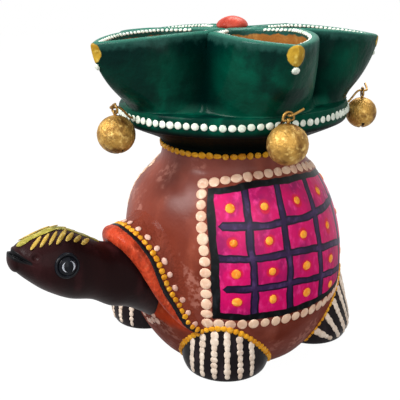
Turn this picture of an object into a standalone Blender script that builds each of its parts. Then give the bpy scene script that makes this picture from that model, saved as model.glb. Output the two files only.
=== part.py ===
# Clay diya lamp: five pinched oil cups on a plate, carried by a tortoise-shaped pot,
# with a brass rattle bell under each cup tip.
# Metres, +Z up. The tortoise looks along -Y. The origin is the middle of the pot's base.
import math

import bmesh
import bpy
from mathutils import Matrix, Vector

# Clearances
SEAT_GAP = 0.0003            # between pieces that touch
WIRE_CLEARANCE = 0.0004      # round a wire that turns in an eye or a hole

# Pot, the body of the tortoise
POT_RADIUS = 0.0616
POT_WIDEST_HEIGHT = 0.0460
POT_BASE_RADIUS = 0.0450
POT_NECK_RADIUS = 0.0385
POT_SHOULDER_HEIGHT = 0.1056  # where the shoulder curve reaches the neck
POT_NECK_HEIGHT = 0.1140      # top of the lip
POT_SHOULDER_FULLNESS = 2.6   # 2 is an ellipse, more is squarer
POT_NECK_BLEND = 0.0050
POT_WALL = 0.0060
VENT_RADIUS = 0.0040          # firing vent through the floor
VENT_OFFSET = 0.0250
POT_SEGMENTS = 40
POT_LEVELS = 16
VENT_SEGMENTS = 16

# Plate that carries the cups
PLATE_SETBACK = 0.0004        # the plate is this much narrower than the pot
PLATE_RADIUS = POT_RADIUS - PLATE_SETBACK
PLATE_TOP_HEIGHT = 0.0240     # above the pot's lip
PLATE_EDGE_HEIGHT = 0.0092    # height of the round edge
PLATE_EDGE_BULGE = 0.0014
PLATE_FOOT_HEIGHT = 0.0030    # upright part of the foot ring
PLATE_FOOT_WALL = 0.0060
PLATE_VAULT_HEIGHT = 0.0160   # hollow under the plate
PLATE_EDGE_STEPS = 6
PLATE_VAULT_STEPS = 5
PLATE_SEGMENTS = 44

# Oil cups
CUP_COUNT = 5
CUP_HEIGHT = 0.0330           # at the tip
CUP_RIM_RISE = 0.0034         # the rim climbs this much from the tip to the middle of the lamp
CUP_TIP_RADIUS = 0.0782       # lamp axis to the tip of a cup
CUP_TIP_SHIFT = 0.0028        # the front cups reach further, the rear ones less
CUP_FOOT_MARGIN = 0.0027      # plate's edge to the outer end of a cup's foot
CUP_FOOT_RADIUS = PLATE_RADIUS - CUP_FOOT_MARGIN
CUP_INNER_RADIUS = 0.0073
CUP_RIM_HALF_WIDTH = 0.0228
CUP_FOOT_HALF_WIDTH = 0.0265
CUP_SHOULDER_RADIUS = 0.0300  # where the sides start to close towards the tip
CUP_TIP_POWER = 3.6           # how long the sides stay wide before they close
CUP_WALL = 0.0045
CUP_FLOOR = 0.0055
CUP_RIM_ROUND = 0.0018
CUP_FLOOR_FILLET = 0.0040
CUP_FLANK_POINTS = 9           # from the tip to where two cups meet
CUP_SEAM_POINTS = 3           # from there to the middle
CUP_OUTSIDE_STEPS = 6
CUP_INSIDE_STEPS = 3

# Bud in the middle of the cups
BUD_STEM_RADIUS = 0.0069
BUD_RADIUS = 0.0082
BUD_RISE = 0.0052             # above the cup rims
BUD_POINT = 1.15              # 1 is a round dome, more is pointed
BUD_STEPS = 5
BUD_SEGMENTS = 16

# Head: distance in front of the pot, height, half width and half height of each section
NECK_HEIGHT = 0.0540
HEAD_SECTIONS = (
    (-0.0140, 0.0540, 0.0165, 0.0170),
    (0.0080, 0.0545, 0.0165, 0.0172),
    (0.0200, 0.0568, 0.0160, 0.0172),
    (0.0310, 0.0638, 0.0158, 0.0170),
    (0.0430, 0.0692, 0.0165, 0.0180),
    (0.0540, 0.0724, 0.0145, 0.0138),
    (0.0615, 0.0749, 0.0105, 0.0090),
    (0.0660, 0.0762, 0.0060, 0.0050),
)
HEAD_NOSE = 0.0012            # bluntness past the last section
HEAD_NOSE_SHARE = 0.4         # size of the nose's flat against the last section
HEAD_STEPS = 16
HEAD_SEGMENTS = 20

# Eyes
EYE_FORWARD = 0.0460          # in front of the pot
EYE_HEIGHT = 0.0735
EYE_RADIUS = 0.0057
EYE_RISE = 0.0020             # out of the head
EYE_SEGMENTS = 16
EYE_RINGS = 8

# Collar round the neck: half width, stand-off from the pot, height
COLLAR_PATH = (
    (0.0000, 0.0158, 0.0762),
    (0.0105, 0.0142, 0.0732),
    (0.0175, 0.0108, 0.0655),
    (0.0212, 0.0076, 0.0560),
    (0.0245, 0.0046, 0.0460),
    (0.0280, 0.0018, 0.0375),
    (0.0310, -0.0010, 0.0305),
    (0.0330, -0.0080, 0.0255),
)
COLLAR_RADIUS = 0.0044
COLLAR_SKIRT_DEPTH = 0.0300   # clay that runs back into the pot
COLLAR_SKIRT_FLARE = 0.0010
COLLAR_STEPS = 13
COLLAR_ROUND_POINTS = 6

# Feet: angle from the head in degrees, reach beyond the pot's base, half height of the lobe
# before the belly cuts it, and taper of the lobe (1 is a cone, more is rounder)
FEET = {
    "foot_front_left": (46.5, 0.0178, 0.0680, 2.0),
    "foot_front_right": (-52.0, 0.0325, 0.0560, 1.6),
    "foot_rear_left": (140.0, 0.0240, 0.0820, 1.2),
    "foot_rear_right": (-137.0, 0.0235, 0.0820, 1.2),
}
FOOT_DEPTH = 0.0230           # radial half size of the lobe
FOOT_HALF_WIDTH = 0.0240
FOOT_WIDEST_HEIGHT = 0.0080
FOOT_UNDERSIDE = 0.0200       # half height of the lobe below its widest level
FOOT_SEGMENTS = 20
FOOT_RINGS = 18

# Tail
TAIL_REACH = 0.0110           # beyond the belly
TAIL_RADIUS = 0.0065
TAIL_TIP_RADIUS = 0.0016
TAIL_ROOT_HEIGHT = 0.0200
TAIL_TIP_HEIGHT = 0.0100
TAIL_ROOT_DEPTH = 0.0120
TAIL_SEGMENTS = 12
TAIL_STEPS = 5

# Bells and their wires
BELL_RADIUS = 0.00945
REAR_BELL_RADIUS = 0.00830    # the two bells behind are smaller
BELL_SHEET = 0.0009
BELL_SLOT_WIDTH = 0.0016
BELL_SLOT_HALF_LENGTH = 0.0068
BELL_SEGMENTS = 16
BELL_RINGS = 8
WIRE_RADIUS = 0.00055
WIRE_RESOLUTION = 1
BAIL_WIDTH = 0.0050           # between the middles of the legs
BAIL_HEIGHT = 0.0036          # bar to the top of the arch
BAIL_ARCH_STEPS = 6
LUG_RISE = 0.0014             # bar above the top of the ball
LUG_WALL = 0.0007
LUG_LENGTH = 0.0026
LUG_SEGMENTS = 10
PELLET_RADIUS = 0.0020
PELLET_SEGMENTS = 10
PELLET_RINGS = 6
HANGER_DEPTH = 0.0090         # into the plate's edge
HANGER_BELOW_TOP = 0.0034     # hole below the plate's top
HANGER_SEAT_HALF = 0.0015     # straight stretch that the bail sits on
HANGER_TAIL = 0.0060
HANGER_TAIL_RISE = 0.0028
HANGER_STEPS = 5
HANGER_HOLE_SEGMENTS = 10
BELL_TOP_DROP = 0.0010        # top of a ball below the plate's top

WEDGE = math.pi / CUP_COUNT
PLATE_FOOT_Z = POT_NECK_HEIGHT + SEAT_GAP
PLATE_TOP_Z = POT_NECK_HEIGHT + PLATE_TOP_HEIGHT
CUP_FOOT_Z = PLATE_TOP_Z + SEAT_GAP
CUP_RIM_Z = CUP_FOOT_Z + CUP_HEIGHT + CUP_RIM_RISE
BAR_Z = PLATE_TOP_Z - BELL_TOP_DROP + LUG_RISE
HANGER_SEAT_Z = BAR_Z + BAIL_HEIGHT - 2 * WIRE_RADIUS - SEAT_GAP
HANGER_HOLE_Z = PLATE_TOP_Z - HANGER_BELOW_TOP


for old in list(bpy.data.objects):
    bpy.data.objects.remove(old, do_unlink=True)


def make_material(name, colour, roughness, metallic=0.0):
    material = bpy.data.materials.new(name)
    material.use_nodes = True
    shader = material.node_tree.nodes["Principled BSDF"]
    shader.inputs["Base Color"].default_value = (*colour, 1.0)
    shader.inputs["Roughness"].default_value = roughness
    shader.inputs["Metallic"].default_value = metallic
    return material


BROWN_CLAY = make_material("brown_painted_clay", (0.22, 0.045, 0.026), 0.4)
GREEN_CLAY = make_material("green_painted_clay", (0.002, 0.075, 0.045), 0.3)
MAROON_CLAY = make_material("maroon_painted_clay", (0.023, 0.007, 0.007), 0.3)
ORANGE_CLAY = make_material("orange_painted_clay", (0.70, 0.12, 0.04), 0.4)
BLACK_CLAY = make_material("black_painted_clay", (0.012, 0.010, 0.010), 0.35)
GOLD_BRASS = make_material("gold_brass", (0.55, 0.32, 0.09), 0.45, 1.0)
STEEL = make_material("steel_pellet", (0.45, 0.45, 0.45), 0.35, 1.0)


def add_object(name, data, material, parent=None):
    item = bpy.data.objects.new(name, data)
    data.materials.append(material)
    bpy.context.scene.collection.objects.link(item)
    item.parent = parent
    return item


def close_mesh(name, shape):
    bmesh.ops.remove_doubles(shape, verts=shape.verts, dist=1e-7)
    bmesh.ops.recalc_face_normals(shape, faces=shape.faces)
    mesh = bpy.data.meshes.new(name)
    shape.to_mesh(mesh)
    shape.free()
    mesh.shade_smooth()
    mesh.set_sharp_from_angle(angle=math.radians(50))
    return mesh


def turned_mesh(name, profile, segments):
    # Spins a profile of (radius, height) points round the Z axis.
    shape = bmesh.new()
    points = [shape.verts.new((radius, 0.0, height)) for radius, height in profile]
    edges = [shape.edges.new(pair) for pair in zip(points, points[1:])]
    bmesh.ops.spin(shape, geom=points + edges, cent=(0, 0, 0), axis=(0, 0, 1),
                   angle=2 * math.pi, steps=segments, use_merge=True)
    return close_mesh(name, shape)


def lofted_mesh(name, rings):
    # Skins equal rings of points and closes both ends.
    shape = bmesh.new()
    loops = [[shape.verts.new(point) for point in ring] for ring in rings]
    count = len(loops[0])
    for lower, upper in zip(loops, loops[1:]):
        for i in range(count):
            j = (i + 1) % count
            shape.faces.new((lower[i], lower[j], upper[j], upper[i]))
    shape.faces.new(loops[0])
    shape.faces.new(loops[-1])
    return close_mesh(name, shape)


def cut(item, cutter):
    boolean = item.modifiers.new("cut_" + cutter.name, "BOOLEAN")
    boolean.operation = "DIFFERENCE"
    boolean.solver = "EXACT"
    boolean.object = cutter


def join(item, other):
    boolean = item.modifiers.new("join_" + other.name, "BOOLEAN")
    boolean.operation = "UNION"
    boolean.solver = "EXACT"
    boolean.object = other


def as_guide(item):
    item.hide_render = True
    item.display_type = "WIRE"
    return item


def spoke(degrees):
    # Turns +X to the direction that lies this far round from the head, towards +X.
    return Matrix.Rotation(math.radians(degrees - 90.0), 4, "Z")


def cup_angle(number):
    return number * 360.0 / CUP_COUNT


def cup_spoke(number):
    return spoke(cup_angle(number))


def smooth(t):
    return t * t * (3.0 - 2.0 * t)


def blend(low, high, t):
    return low + (high - low) * t


def curve_through(points, steps):
    # Even steps along a smooth curve through points of any dimension.
    padded = [points[0], *points, points[-1]]
    spans = len(points) - 1
    result = []
    for step in range(steps + 1):
        place = min(step * spans / steps, spans - 1e-9)
        k = int(place)
        t = place - k
        row = []
        for a, b, c, d in zip(*padded[k:k + 4]):
            pull = (2 * a - 5 * b + 4 * c - d) * t * t + (3 * b - a - 3 * c + d) * t ** 3
            row.append(0.5 * (2 * b + (c - a) * t + pull))
        result.append(row)
    return result


def wire(name, points, closed, material, parent=None):
    data = bpy.data.curves.new(name, "CURVE")
    data.dimensions = "3D"
    data.bevel_depth = WIRE_RADIUS
    data.bevel_resolution = WIRE_RESOLUTION
    data.use_fill_caps = not closed
    spline = data.splines.new("POLY")
    spline.points.add(len(points) - 1)
    for place, point in zip(spline.points, points):
        place.co = (*point, 1.0)
    spline.use_cyclic_u = closed
    return add_object(name, data, material, parent)


def pot_radius(height):
    lift = height - POT_WIDEST_HEIGHT
    if lift < 0.0:
        depth = POT_WIDEST_HEIGHT / math.sqrt(1.0 - (POT_BASE_RADIUS / POT_RADIUS) ** 2)
        return POT_RADIUS * math.sqrt(max(0.0, 1.0 - (lift / depth) ** 2))
    power = POT_SHOULDER_FULLNESS
    closing = (1.0 - (POT_NECK_RADIUS / POT_RADIUS) ** power) ** (1.0 / power)
    rise = (POT_SHOULDER_HEIGHT - POT_WIDEST_HEIGHT) / closing
    belly = POT_RADIUS * max(0.0, 1.0 - (lift / rise) ** power) ** (1.0 / power)
    soft = POT_NECK_BLEND * lift / (POT_NECK_HEIGHT - POT_WIDEST_HEIGHT)
    return (belly + POT_NECK_RADIUS + math.hypot(belly - POT_NECK_RADIUS, soft)) / 2.0


def pot_heights(start):
    span = POT_NECK_HEIGHT - start
    return [start + span * i / POT_LEVELS for i in range(POT_LEVELS + 1)]


def build_pot():
    outer = [(pot_radius(z), z) for z in pot_heights(0.0)]
    inner = [(pot_radius(z) - POT_WALL, z) for z in reversed(pot_heights(POT_WALL)[::2])]
    profile = [(0.0, 0.0), *outer, *inner, (0.0, POT_WALL)]
    pot = add_object("body_pot", turned_mesh("body_pot", profile, POT_SEGMENTS), BROWN_CLAY)
    drill = bmesh.new()
    bmesh.ops.create_cone(drill, cap_ends=True, segments=VENT_SEGMENTS, radius1=VENT_RADIUS,
                          radius2=VENT_RADIUS, depth=4 * POT_WALL,
                          matrix=Matrix.Translation((0.0, VENT_OFFSET, 0.0)))
    vent = as_guide(add_object("vent_drill", close_mesh("vent_drill", drill), BROWN_CLAY))
    cut(pot, vent)
    return pot


def build_pot_seat():
    # The pot's outside grown by the seat gap. It trims whatever is luted to the pot.
    side = [(pot_radius(z) + SEAT_GAP, z) for z in pot_heights(0.0)]
    below = (side[0][0], -POT_WALL)
    profile = [(0.0, -POT_WALL), below, *side, (0.0, POT_NECK_HEIGHT)]
    mesh = turned_mesh("pot_seat", profile, POT_SEGMENTS)
    return as_guide(add_object("pot_seat", mesh, BROWN_CLAY))


def plate_profile():
    top = PLATE_TOP_Z
    edge = top - PLATE_EDGE_HEIGHT
    foot = pot_radius(POT_NECK_HEIGHT)
    hollow = foot - PLATE_FOOT_WALL
    vault = [(0.0, PLATE_FOOT_Z + PLATE_VAULT_HEIGHT)]
    for i in range(PLATE_VAULT_STEPS - 1, -1, -1):
        a = math.pi / 2 * i / PLATE_VAULT_STEPS
        vault.append((hollow * math.cos(a), PLATE_FOOT_Z + PLATE_VAULT_HEIGHT * math.sin(a)))
    lip = PLATE_RADIUS - PLATE_EDGE_BULGE
    rim = []
    for i in range(PLATE_EDGE_STEPS + 1):
        a = math.pi * (i / PLATE_EDGE_STEPS - 0.5)
        height = (edge + top + (top - edge) * math.sin(a)) / 2
        rim.append((lip + PLATE_EDGE_BULGE * math.cos(a), height))
    turn = PLATE_FOOT_Z + PLATE_FOOT_HEIGHT
    corner = (foot + PLATE_EDGE_BULGE, turn + PLATE_EDGE_BULGE)
    return [*vault, (foot, PLATE_FOOT_Z), (foot, turn), corner, *rim, (0.0, top)]


def build_plate():
    mesh = turned_mesh("lamp_plate", plate_profile(), PLATE_SEGMENTS)
    plate = add_object("lamp_plate", mesh, GREEN_CLAY)
    radius = WIRE_RADIUS + WIRE_CLEARANCE
    for number in range(CUP_COUNT):
        name = "hanger_drill_%d" % (number + 1)
        drill = bmesh.new()
        bmesh.ops.create_cone(drill, cap_ends=True, segments=HANGER_HOLE_SEGMENTS, radius1=radius,
                              radius2=radius, depth=2 * (HANGER_DEPTH + SEAT_GAP),
                              matrix=Matrix.Rotation(math.pi / 2, 4, "Y"))
        drill.transform(cup_spoke(number) @ Matrix.Translation((PLATE_RADIUS, 0.0, HANGER_HOLE_Z)))
        cut(plate, as_guide(add_object(name, close_mesh(name, drill), GREEN_CLAY)))
    return plate


def cup_ring(tip_radius, level, inset):
    # Outline of a cup at a level from 0, its foot, to 1, its rim. X runs out to the tip.
    # Two cups meet on flat seams, so a side is the lesser of its own flank and its seam.
    t = smooth(level)
    tip = blend(CUP_FOOT_RADIUS, tip_radius, 1.0 - (1.0 - level) ** 2) - inset
    wide = blend(CUP_FOOT_HALF_WIDTH, CUP_RIM_HALF_WIDTH, level) - inset
    power = blend(2.0, CUP_TIP_POWER, t)
    sharp = blend(0.5, 1.0, t)
    inner = CUP_INNER_RADIUS + inset / math.sin(WEDGE)
    floor = CUP_FLOOR / CUP_HEIGHT
    climb = CUP_RIM_RISE * smooth(max(0.0, level - floor) / (1.0 - floor))

    def near_tip(x):
        return max(0.0, (x - CUP_SHOULDER_RADIUS) / (tip - CUP_SHOULDER_RADIUS))

    def flank(x):
        return wide * (1.0 - near_tip(x) ** power) ** sharp

    def corner(x, y):
        height = CUP_FOOT_Z + CUP_HEIGHT * level + climb * (1.0 - near_tip(x) ** 2)
        return Vector((x, y, height))

    def seam(x):
        return x * math.tan(WEDGE) - (SEAT_GAP / 2 + inset) / math.cos(WEDGE)

    meet, far = inner, tip
    for _ in range(40):
        middle = (meet + far) / 2
        if seam(middle) < flank(middle):
            meet = middle
        else:
            far = middle
    turns = [math.pi / 2 * i / CUP_FLANK_POINTS for i in range(1, CUP_FLANK_POINTS)]
    side = [(x, flank(x)) for x in (tip - (tip - meet) * (1.0 - math.cos(a)) for a in turns)]
    for i in range(CUP_SEAM_POINTS + 1):
        x = blend(meet, inner, i / CUP_SEAM_POINTS)
        side.append((x, seam(x)))
    right = [corner(x, y) for x, y in side]
    left = [corner(x, -y) for x, y in reversed(side)]
    return [corner(tip, 0.0), *right, *left]


def build_cup(number):
    tip = CUP_TIP_RADIUS + CUP_TIP_SHIFT * math.cos(math.radians(cup_angle(number)))
    shoulder = 1.0 - CUP_RIM_ROUND / CUP_HEIGHT
    floor = CUP_FLOOR / CUP_HEIGHT
    floor_side = (CUP_FLOOR + CUP_FLOOR_FILLET / 2) / CUP_HEIGHT
    outside = [(shoulder * i / CUP_OUTSIDE_STEPS, 0.0) for i in range(CUP_OUTSIDE_STEPS + 1)]
    rim = [(1.0, CUP_WALL / 3), (1.0, CUP_WALL * 2 / 3)]
    inside = [(blend(shoulder, floor_side, i / CUP_INSIDE_STEPS), CUP_WALL)
              for i in range(CUP_INSIDE_STEPS + 1)]
    steps = [*outside, *rim, *inside, (floor, CUP_WALL + CUP_FLOOR_FILLET / 2)]
    name = "cup_%d" % (number + 1)
    mesh = lofted_mesh(name, [cup_ring(tip, level, inset) for level, inset in steps])
    cup = add_object(name, mesh, GREEN_CLAY)
    cup.matrix_world = cup_spoke(number)
    return cup


def build_bud():
    shelf = CUP_RIM_Z + SEAT_GAP
    profile = [(0.0, CUP_FOOT_Z), (BUD_STEM_RADIUS, CUP_FOOT_Z), (BUD_STEM_RADIUS, shelf)]
    for i in range(BUD_STEPS):
        a = math.pi / 2 * i / BUD_STEPS
        profile.append((BUD_RADIUS * math.cos(a) ** BUD_POINT, shelf + BUD_RISE * math.sin(a)))
    profile.append((0.0, shelf + BUD_RISE))
    return add_object("centre_bud", turned_mesh("centre_bud", profile, BUD_SEGMENTS), ORANGE_CLAY)


def pot_front():
    return pot_radius(NECK_HEIGHT)


def head_rings(grow):
    angles = [2 * math.pi * i / HEAD_SEGMENTS for i in range(HEAD_SEGMENTS)]
    rings = []
    for forward, height, half_width, half_height in curve_through(HEAD_SECTIONS, HEAD_STEPS):
        wide = half_width + grow
        tall = half_height + grow
        y = -pot_front() - forward
        rings.append([Vector((wide * math.cos(a), y, height + tall * math.sin(a))) for a in angles])
    forward, height = HEAD_SECTIONS[-1][:2]
    y = -pot_front() - forward - HEAD_NOSE - grow
    share = HEAD_NOSE_SHARE
    rings.append([Vector((p.x * share, y, blend(height, p.z, share))) for p in rings[-1]])
    return rings


def build_head(pot_seat):
    head = add_object("head", lofted_mesh("head", head_rings(0.0)), MAROON_CLAY)
    cut(head, pot_seat)
    return head


def build_head_seat():
    return as_guide(add_object("head_seat", lofted_mesh("head_seat", head_rings(SEAT_GAP)), MAROON_CLAY))


def head_half_width(forward, height):
    rows = curve_through(HEAD_SECTIONS, HEAD_STEPS)
    for low, high in zip(rows, rows[1:]):
        if low[0] <= forward <= high[0]:
            t = (forward - low[0]) / (high[0] - low[0])
            middle, wide, tall = (blend(low[k], high[k], t) for k in (1, 2, 3))
            return wide * math.sqrt(max(0.0, 1.0 - ((height - middle) / tall) ** 2))
    return 0.0


def build_eyes(head_seat):
    side = head_half_width(EYE_FORWARD, EYE_HEIGHT)
    for name, sign in (("eye_left", 1), ("eye_right", -1)):
        shape = bmesh.new()
        bmesh.ops.create_uvsphere(shape, u_segments=EYE_SEGMENTS, v_segments=EYE_RINGS,
                                  radius=1.0)
        shape.transform(Matrix.Diagonal((EYE_RADIUS, EYE_RADIUS, EYE_RISE * 2, 1.0)))
        shape.transform(Matrix.Rotation(math.pi / 2, 4, "Y"))
        eye = add_object(name, close_mesh(name, shape), BLACK_CLAY)
        eye.location = (sign * (side - EYE_RISE), -pot_front() - EYE_FORWARD, EYE_HEIGHT)
        cut(eye, head_seat)


def collar_section(row):
    # One slice of the collar: a round front roll with a wedge of clay running back.
    half, stand_off, height = row
    y = -math.sqrt(pot_radius(height) ** 2 - half ** 2) - stand_off
    middle = Vector((half, y, height))
    out = Vector((half, 0.0, height - NECK_HEIGHT)).normalized()
    if height < NECK_HEIGHT:
        out = Vector((math.copysign(1.0, half), 0.0, 0.0))
    front = Vector((0.0, -1.0, 0.0))
    ring = []
    for i in range(COLLAR_ROUND_POINTS):
        a = math.pi * i / (COLLAR_ROUND_POINTS - 1)
        ring.append(middle + COLLAR_RADIUS * (out * math.cos(a) + front * math.sin(a)))
    back = middle - front * COLLAR_SKIRT_DEPTH
    ring.append(back - out * COLLAR_RADIUS)
    ring.append(back + out * (COLLAR_RADIUS + COLLAR_SKIRT_FLARE))
    return ring


def build_collar(pot_seat, head_seat):
    side = curve_through(COLLAR_PATH, COLLAR_STEPS)
    right = [(-half, stand_off, height) for half, stand_off, height in reversed(side[1:])]
    rings = [collar_section(row) for row in [*right, *side]]
    collar = add_object("collar", lofted_mesh("collar", rings), ORANGE_CLAY)
    cut(collar, pot_seat)
    cut(collar, head_seat)
    for node in FEET:
        if "front" in node:
            cut(collar, as_guide(foot_lobe(node + "_seat", node, SEAT_GAP)))
    return collar


def foot_lobe(name, node, grow):
    # A round lobe with a flat sole, placed at its angle. The belly cuts it later.
    degrees, reach, full_height, taper = FEET[node]
    shape = bmesh.new()
    bmesh.ops.create_uvsphere(shape, u_segments=FOOT_SEGMENTS, v_segments=FOOT_RINGS, radius=1.0)
    for corner in shape.verts:
        x, y, z = corner.co
        tall = FOOT_UNDERSIDE
        if z > 0.0:
            tall = full_height
            x, y = (side * (1.0 - z ** taper) / max(math.hypot(x, y), SEAT_GAP) for side in (x, y))
        corner.co = Vector((x * (FOOT_DEPTH + grow), y * (FOOT_HALF_WIDTH + grow),
                            z * (tall + grow) + FOOT_WIDEST_HEIGHT))
    everything = shape.verts[:] + shape.edges[:] + shape.faces[:]
    sliced = bmesh.ops.bisect_plane(shape, geom=everything, plane_co=(0, 0, 0), plane_no=(0, 0, 1),
                                    clear_inner=True)
    sole = [edge for edge in sliced["geom_cut"] if isinstance(edge, bmesh.types.BMEdge)]
    bmesh.ops.contextual_create(shape, geom=sole)
    lobe = add_object(name, close_mesh(name, shape), BLACK_CLAY)
    middle = POT_BASE_RADIUS + reach - FOOT_DEPTH
    lobe.matrix_world = spoke(degrees) @ Matrix.Translation((middle, 0.0, 0.0))
    return lobe


def build_foot(node, pot_seat):
    foot = foot_lobe(node, node, 0.0)
    cut(foot, pot_seat)
    return foot


def build_tail(pot_seat):
    root = pot_radius(TAIL_ROOT_HEIGHT) - TAIL_ROOT_DEPTH
    tip = POT_RADIUS + TAIL_REACH
    rings = []
    for i in range(TAIL_STEPS + 1):
        t = i / TAIL_STEPS
        radius = blend(TAIL_RADIUS, TAIL_TIP_RADIUS, t * t)
        y = blend(root, tip, t)
        z = blend(TAIL_ROOT_HEIGHT, TAIL_TIP_HEIGHT, smooth(t))
        angles = [2 * math.pi * k / TAIL_SEGMENTS for k in range(TAIL_SEGMENTS)]
        rings.append([Vector((radius * math.cos(a), y, z + radius * math.sin(a))) for a in angles])
    tail = add_object("tail", lofted_mesh("tail", rings), MAROON_CLAY)
    cut(tail, pot_seat)
    return tail


def bell_radius(number):
    return REAR_BELL_RADIUS if math.cos(math.radians(cup_angle(number))) < -0.5 else BELL_RADIUS


def hang_radius(number):
    # A bell hangs just clear of the plate's edge.
    return PLATE_RADIUS + bell_radius(number) + SEAT_GAP


def build_hanger(number):
    # A wire set in the plate's edge. The bail sits on its level stretch and its end turns aside.
    seat_start = hang_radius(number) - HANGER_SEAT_HALF
    seat_end = hang_radius(number) + HANGER_SEAT_HALF
    leave = PLATE_RADIUS + WIRE_RADIUS
    climb = HANGER_SEAT_Z - HANGER_HOLE_Z
    points = [(PLATE_RADIUS - HANGER_DEPTH, 0.0, HANGER_HOLE_Z)]
    for i in range(HANGER_STEPS + 1):
        t = i / HANGER_STEPS
        points.append((blend(leave, seat_start, t), 0.0, HANGER_HOLE_Z + climb * smooth(t)))
    bend = 2 * WIRE_RADIUS
    points.append((seat_end, 0.0, HANGER_SEAT_Z))
    points.append((seat_end + bend, bend, HANGER_SEAT_Z + WIRE_RADIUS))
    points.append((seat_end + bend, HANGER_TAIL, HANGER_SEAT_Z + HANGER_TAIL_RISE))
    hanger = wire("hanger_%d" % (number + 1), points, False, GOLD_BRASS)
    hanger.matrix_world = cup_spoke(number)
    return hanger


def bail_points():
    # A closed arch of wire. Its bar lies on the local Y axis.
    half = BAIL_WIDTH / 2
    spring = BAIL_HEIGHT - half
    points = [(0.0, -half + WIRE_RADIUS, 0.0), (0.0, half - WIRE_RADIUS, 0.0), (0.0, half, WIRE_RADIUS)]
    for i in range(BAIL_ARCH_STEPS + 1):
        a = math.pi * i / BAIL_ARCH_STEPS
        points.append((0.0, half * math.cos(a), spring + half * math.sin(a)))
    points.append((0.0, -half, WIRE_RADIUS))
    return points


def ball_mesh(name, radius):
    arc = [(0.0, radius)]
    for i in range(1, BELL_RINGS):
        a = math.pi * i / BELL_RINGS
        arc.append((radius * math.sin(a), radius * math.cos(a)))
    arc.append((0.0, -radius))
    return turned_mesh(name, arc, BELL_SEGMENTS)


def build_ball(name, radius):
    # A thin ball with a slot across its underside.
    ball = add_object(name, ball_mesh(name, radius), GOLD_BRASS)
    inside = ball_mesh(name + "_hollow", radius - BELL_SHEET)
    hollow = as_guide(add_object(name + "_hollow", inside, GOLD_BRASS))
    slot = bmesh.new()
    bmesh.ops.create_cube(slot, size=1.0)
    slot.transform(Matrix.Diagonal((BELL_SLOT_WIDTH, 2 * BELL_SLOT_HALF_LENGTH, radius, 1.0)))
    slot.transform(Matrix.Translation((0.0, 0.0, -radius)))
    slit = as_guide(add_object(name + "_slit", close_mesh(name + "_slit", slot), GOLD_BRASS))
    return ball, hollow, slit


def rod(name, radius, length):
    # A guide rod along the local Y axis.
    shape = bmesh.new()
    bmesh.ops.create_cone(shape, cap_ends=True, segments=LUG_SEGMENTS, radius1=radius, radius2=radius,
                          depth=length, matrix=Matrix.Rotation(math.pi / 2, 4, "X"))
    return as_guide(add_object(name, close_mesh(name, shape), GOLD_BRASS))


def add_pivot(name, parent=None):
    pivot = bpy.data.objects.new(name, None)
    bpy.context.scene.collection.objects.link(pivot)
    pivot.parent = parent
    return pivot


def build_bell(number):
    label = number + 1
    radius = bell_radius(number)
    swing = add_pivot("bail_pivot_%d" % label)
    swing.matrix_world = cup_spoke(number) @ Matrix.Translation((hang_radius(number), 0.0, HANGER_SEAT_Z))
    bail = wire("bail_%d" % label, bail_points(), True, GOLD_BRASS, swing)
    tilt = add_pivot("bell_pivot_%d" % label, swing)
    for piece in (bail, tilt):
        piece.location = (0.0, 0.0, BAR_Z - HANGER_SEAT_Z)
    middle = -LUG_RISE - radius
    name = "bell_shell_%d" % label
    ball, hollow, slit = build_ball(name, radius)
    for piece in (ball, hollow, slit):
        piece.parent = tilt
        piece.location = (0.0, 0.0, middle)
    eye = WIRE_RADIUS + WIRE_CLEARANCE
    lug = rod(name + "_lug", eye + LUG_WALL, LUG_LENGTH)
    bore = rod(name + "_bore", eye, 2 * LUG_LENGTH)
    lug.parent = tilt
    bore.parent = tilt
    join(ball, lug)
    for cutter in (bore, hollow, slit):
        cut(ball, cutter)
    build_pellet(label, radius, middle, tilt)


def build_pellet(label, radius, middle, tilt):
    # The loose pellet lies at the bottom of the ball.
    name = "bell_pellet_%d" % label
    shape = bmesh.new()
    bmesh.ops.create_uvsphere(shape, u_segments=PELLET_SEGMENTS, v_segments=PELLET_RINGS,
                              radius=PELLET_RADIUS)
    pellet = add_object(name, close_mesh(name, shape), STEEL, tilt)
    inside = (radius - BELL_SHEET) * math.cos(math.pi / BELL_RINGS)
    pellet.location = (0.0, 0.0, middle - (inside - PELLET_RADIUS - SEAT_GAP))


def build_lamp():
    build_pot()
    pot_seat = build_pot_seat()
    build_plate()
    build_bud()
    build_head(pot_seat)
    head_seat = build_head_seat()
    build_eyes(head_seat)
    build_collar(pot_seat, head_seat)
    build_tail(pot_seat)
    for name in FEET:
        build_foot(name, pot_seat)
    for number in range(CUP_COUNT):
        build_cup(number)
        build_hanger(number)
        build_bell(number)


build_lamp()
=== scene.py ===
import math

import bmesh
import bpy
from mathutils import Matrix, Vector, noise


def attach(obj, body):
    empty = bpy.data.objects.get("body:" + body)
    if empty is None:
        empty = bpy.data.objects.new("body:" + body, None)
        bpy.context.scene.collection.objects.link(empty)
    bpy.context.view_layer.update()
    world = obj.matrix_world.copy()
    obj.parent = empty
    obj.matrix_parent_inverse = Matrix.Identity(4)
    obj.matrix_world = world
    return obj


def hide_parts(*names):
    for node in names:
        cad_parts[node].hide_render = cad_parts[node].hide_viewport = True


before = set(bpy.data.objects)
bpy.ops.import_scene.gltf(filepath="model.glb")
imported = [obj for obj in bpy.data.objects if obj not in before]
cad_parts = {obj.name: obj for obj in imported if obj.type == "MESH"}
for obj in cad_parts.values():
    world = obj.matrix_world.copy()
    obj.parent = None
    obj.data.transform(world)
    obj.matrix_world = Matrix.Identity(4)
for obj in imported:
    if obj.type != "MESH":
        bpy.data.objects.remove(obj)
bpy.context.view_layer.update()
print("stage: frame loaded")

upward = Vector((0.0, 0.0, 1.0))
perMetre = 1000.0  # millimetres
smallTurn, smallStep = 0.5, 0.0005  # degrees and metres, for finding which way a surface faces


def mixValue(low, high, t):
    return low + (high - low) * t


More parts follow.
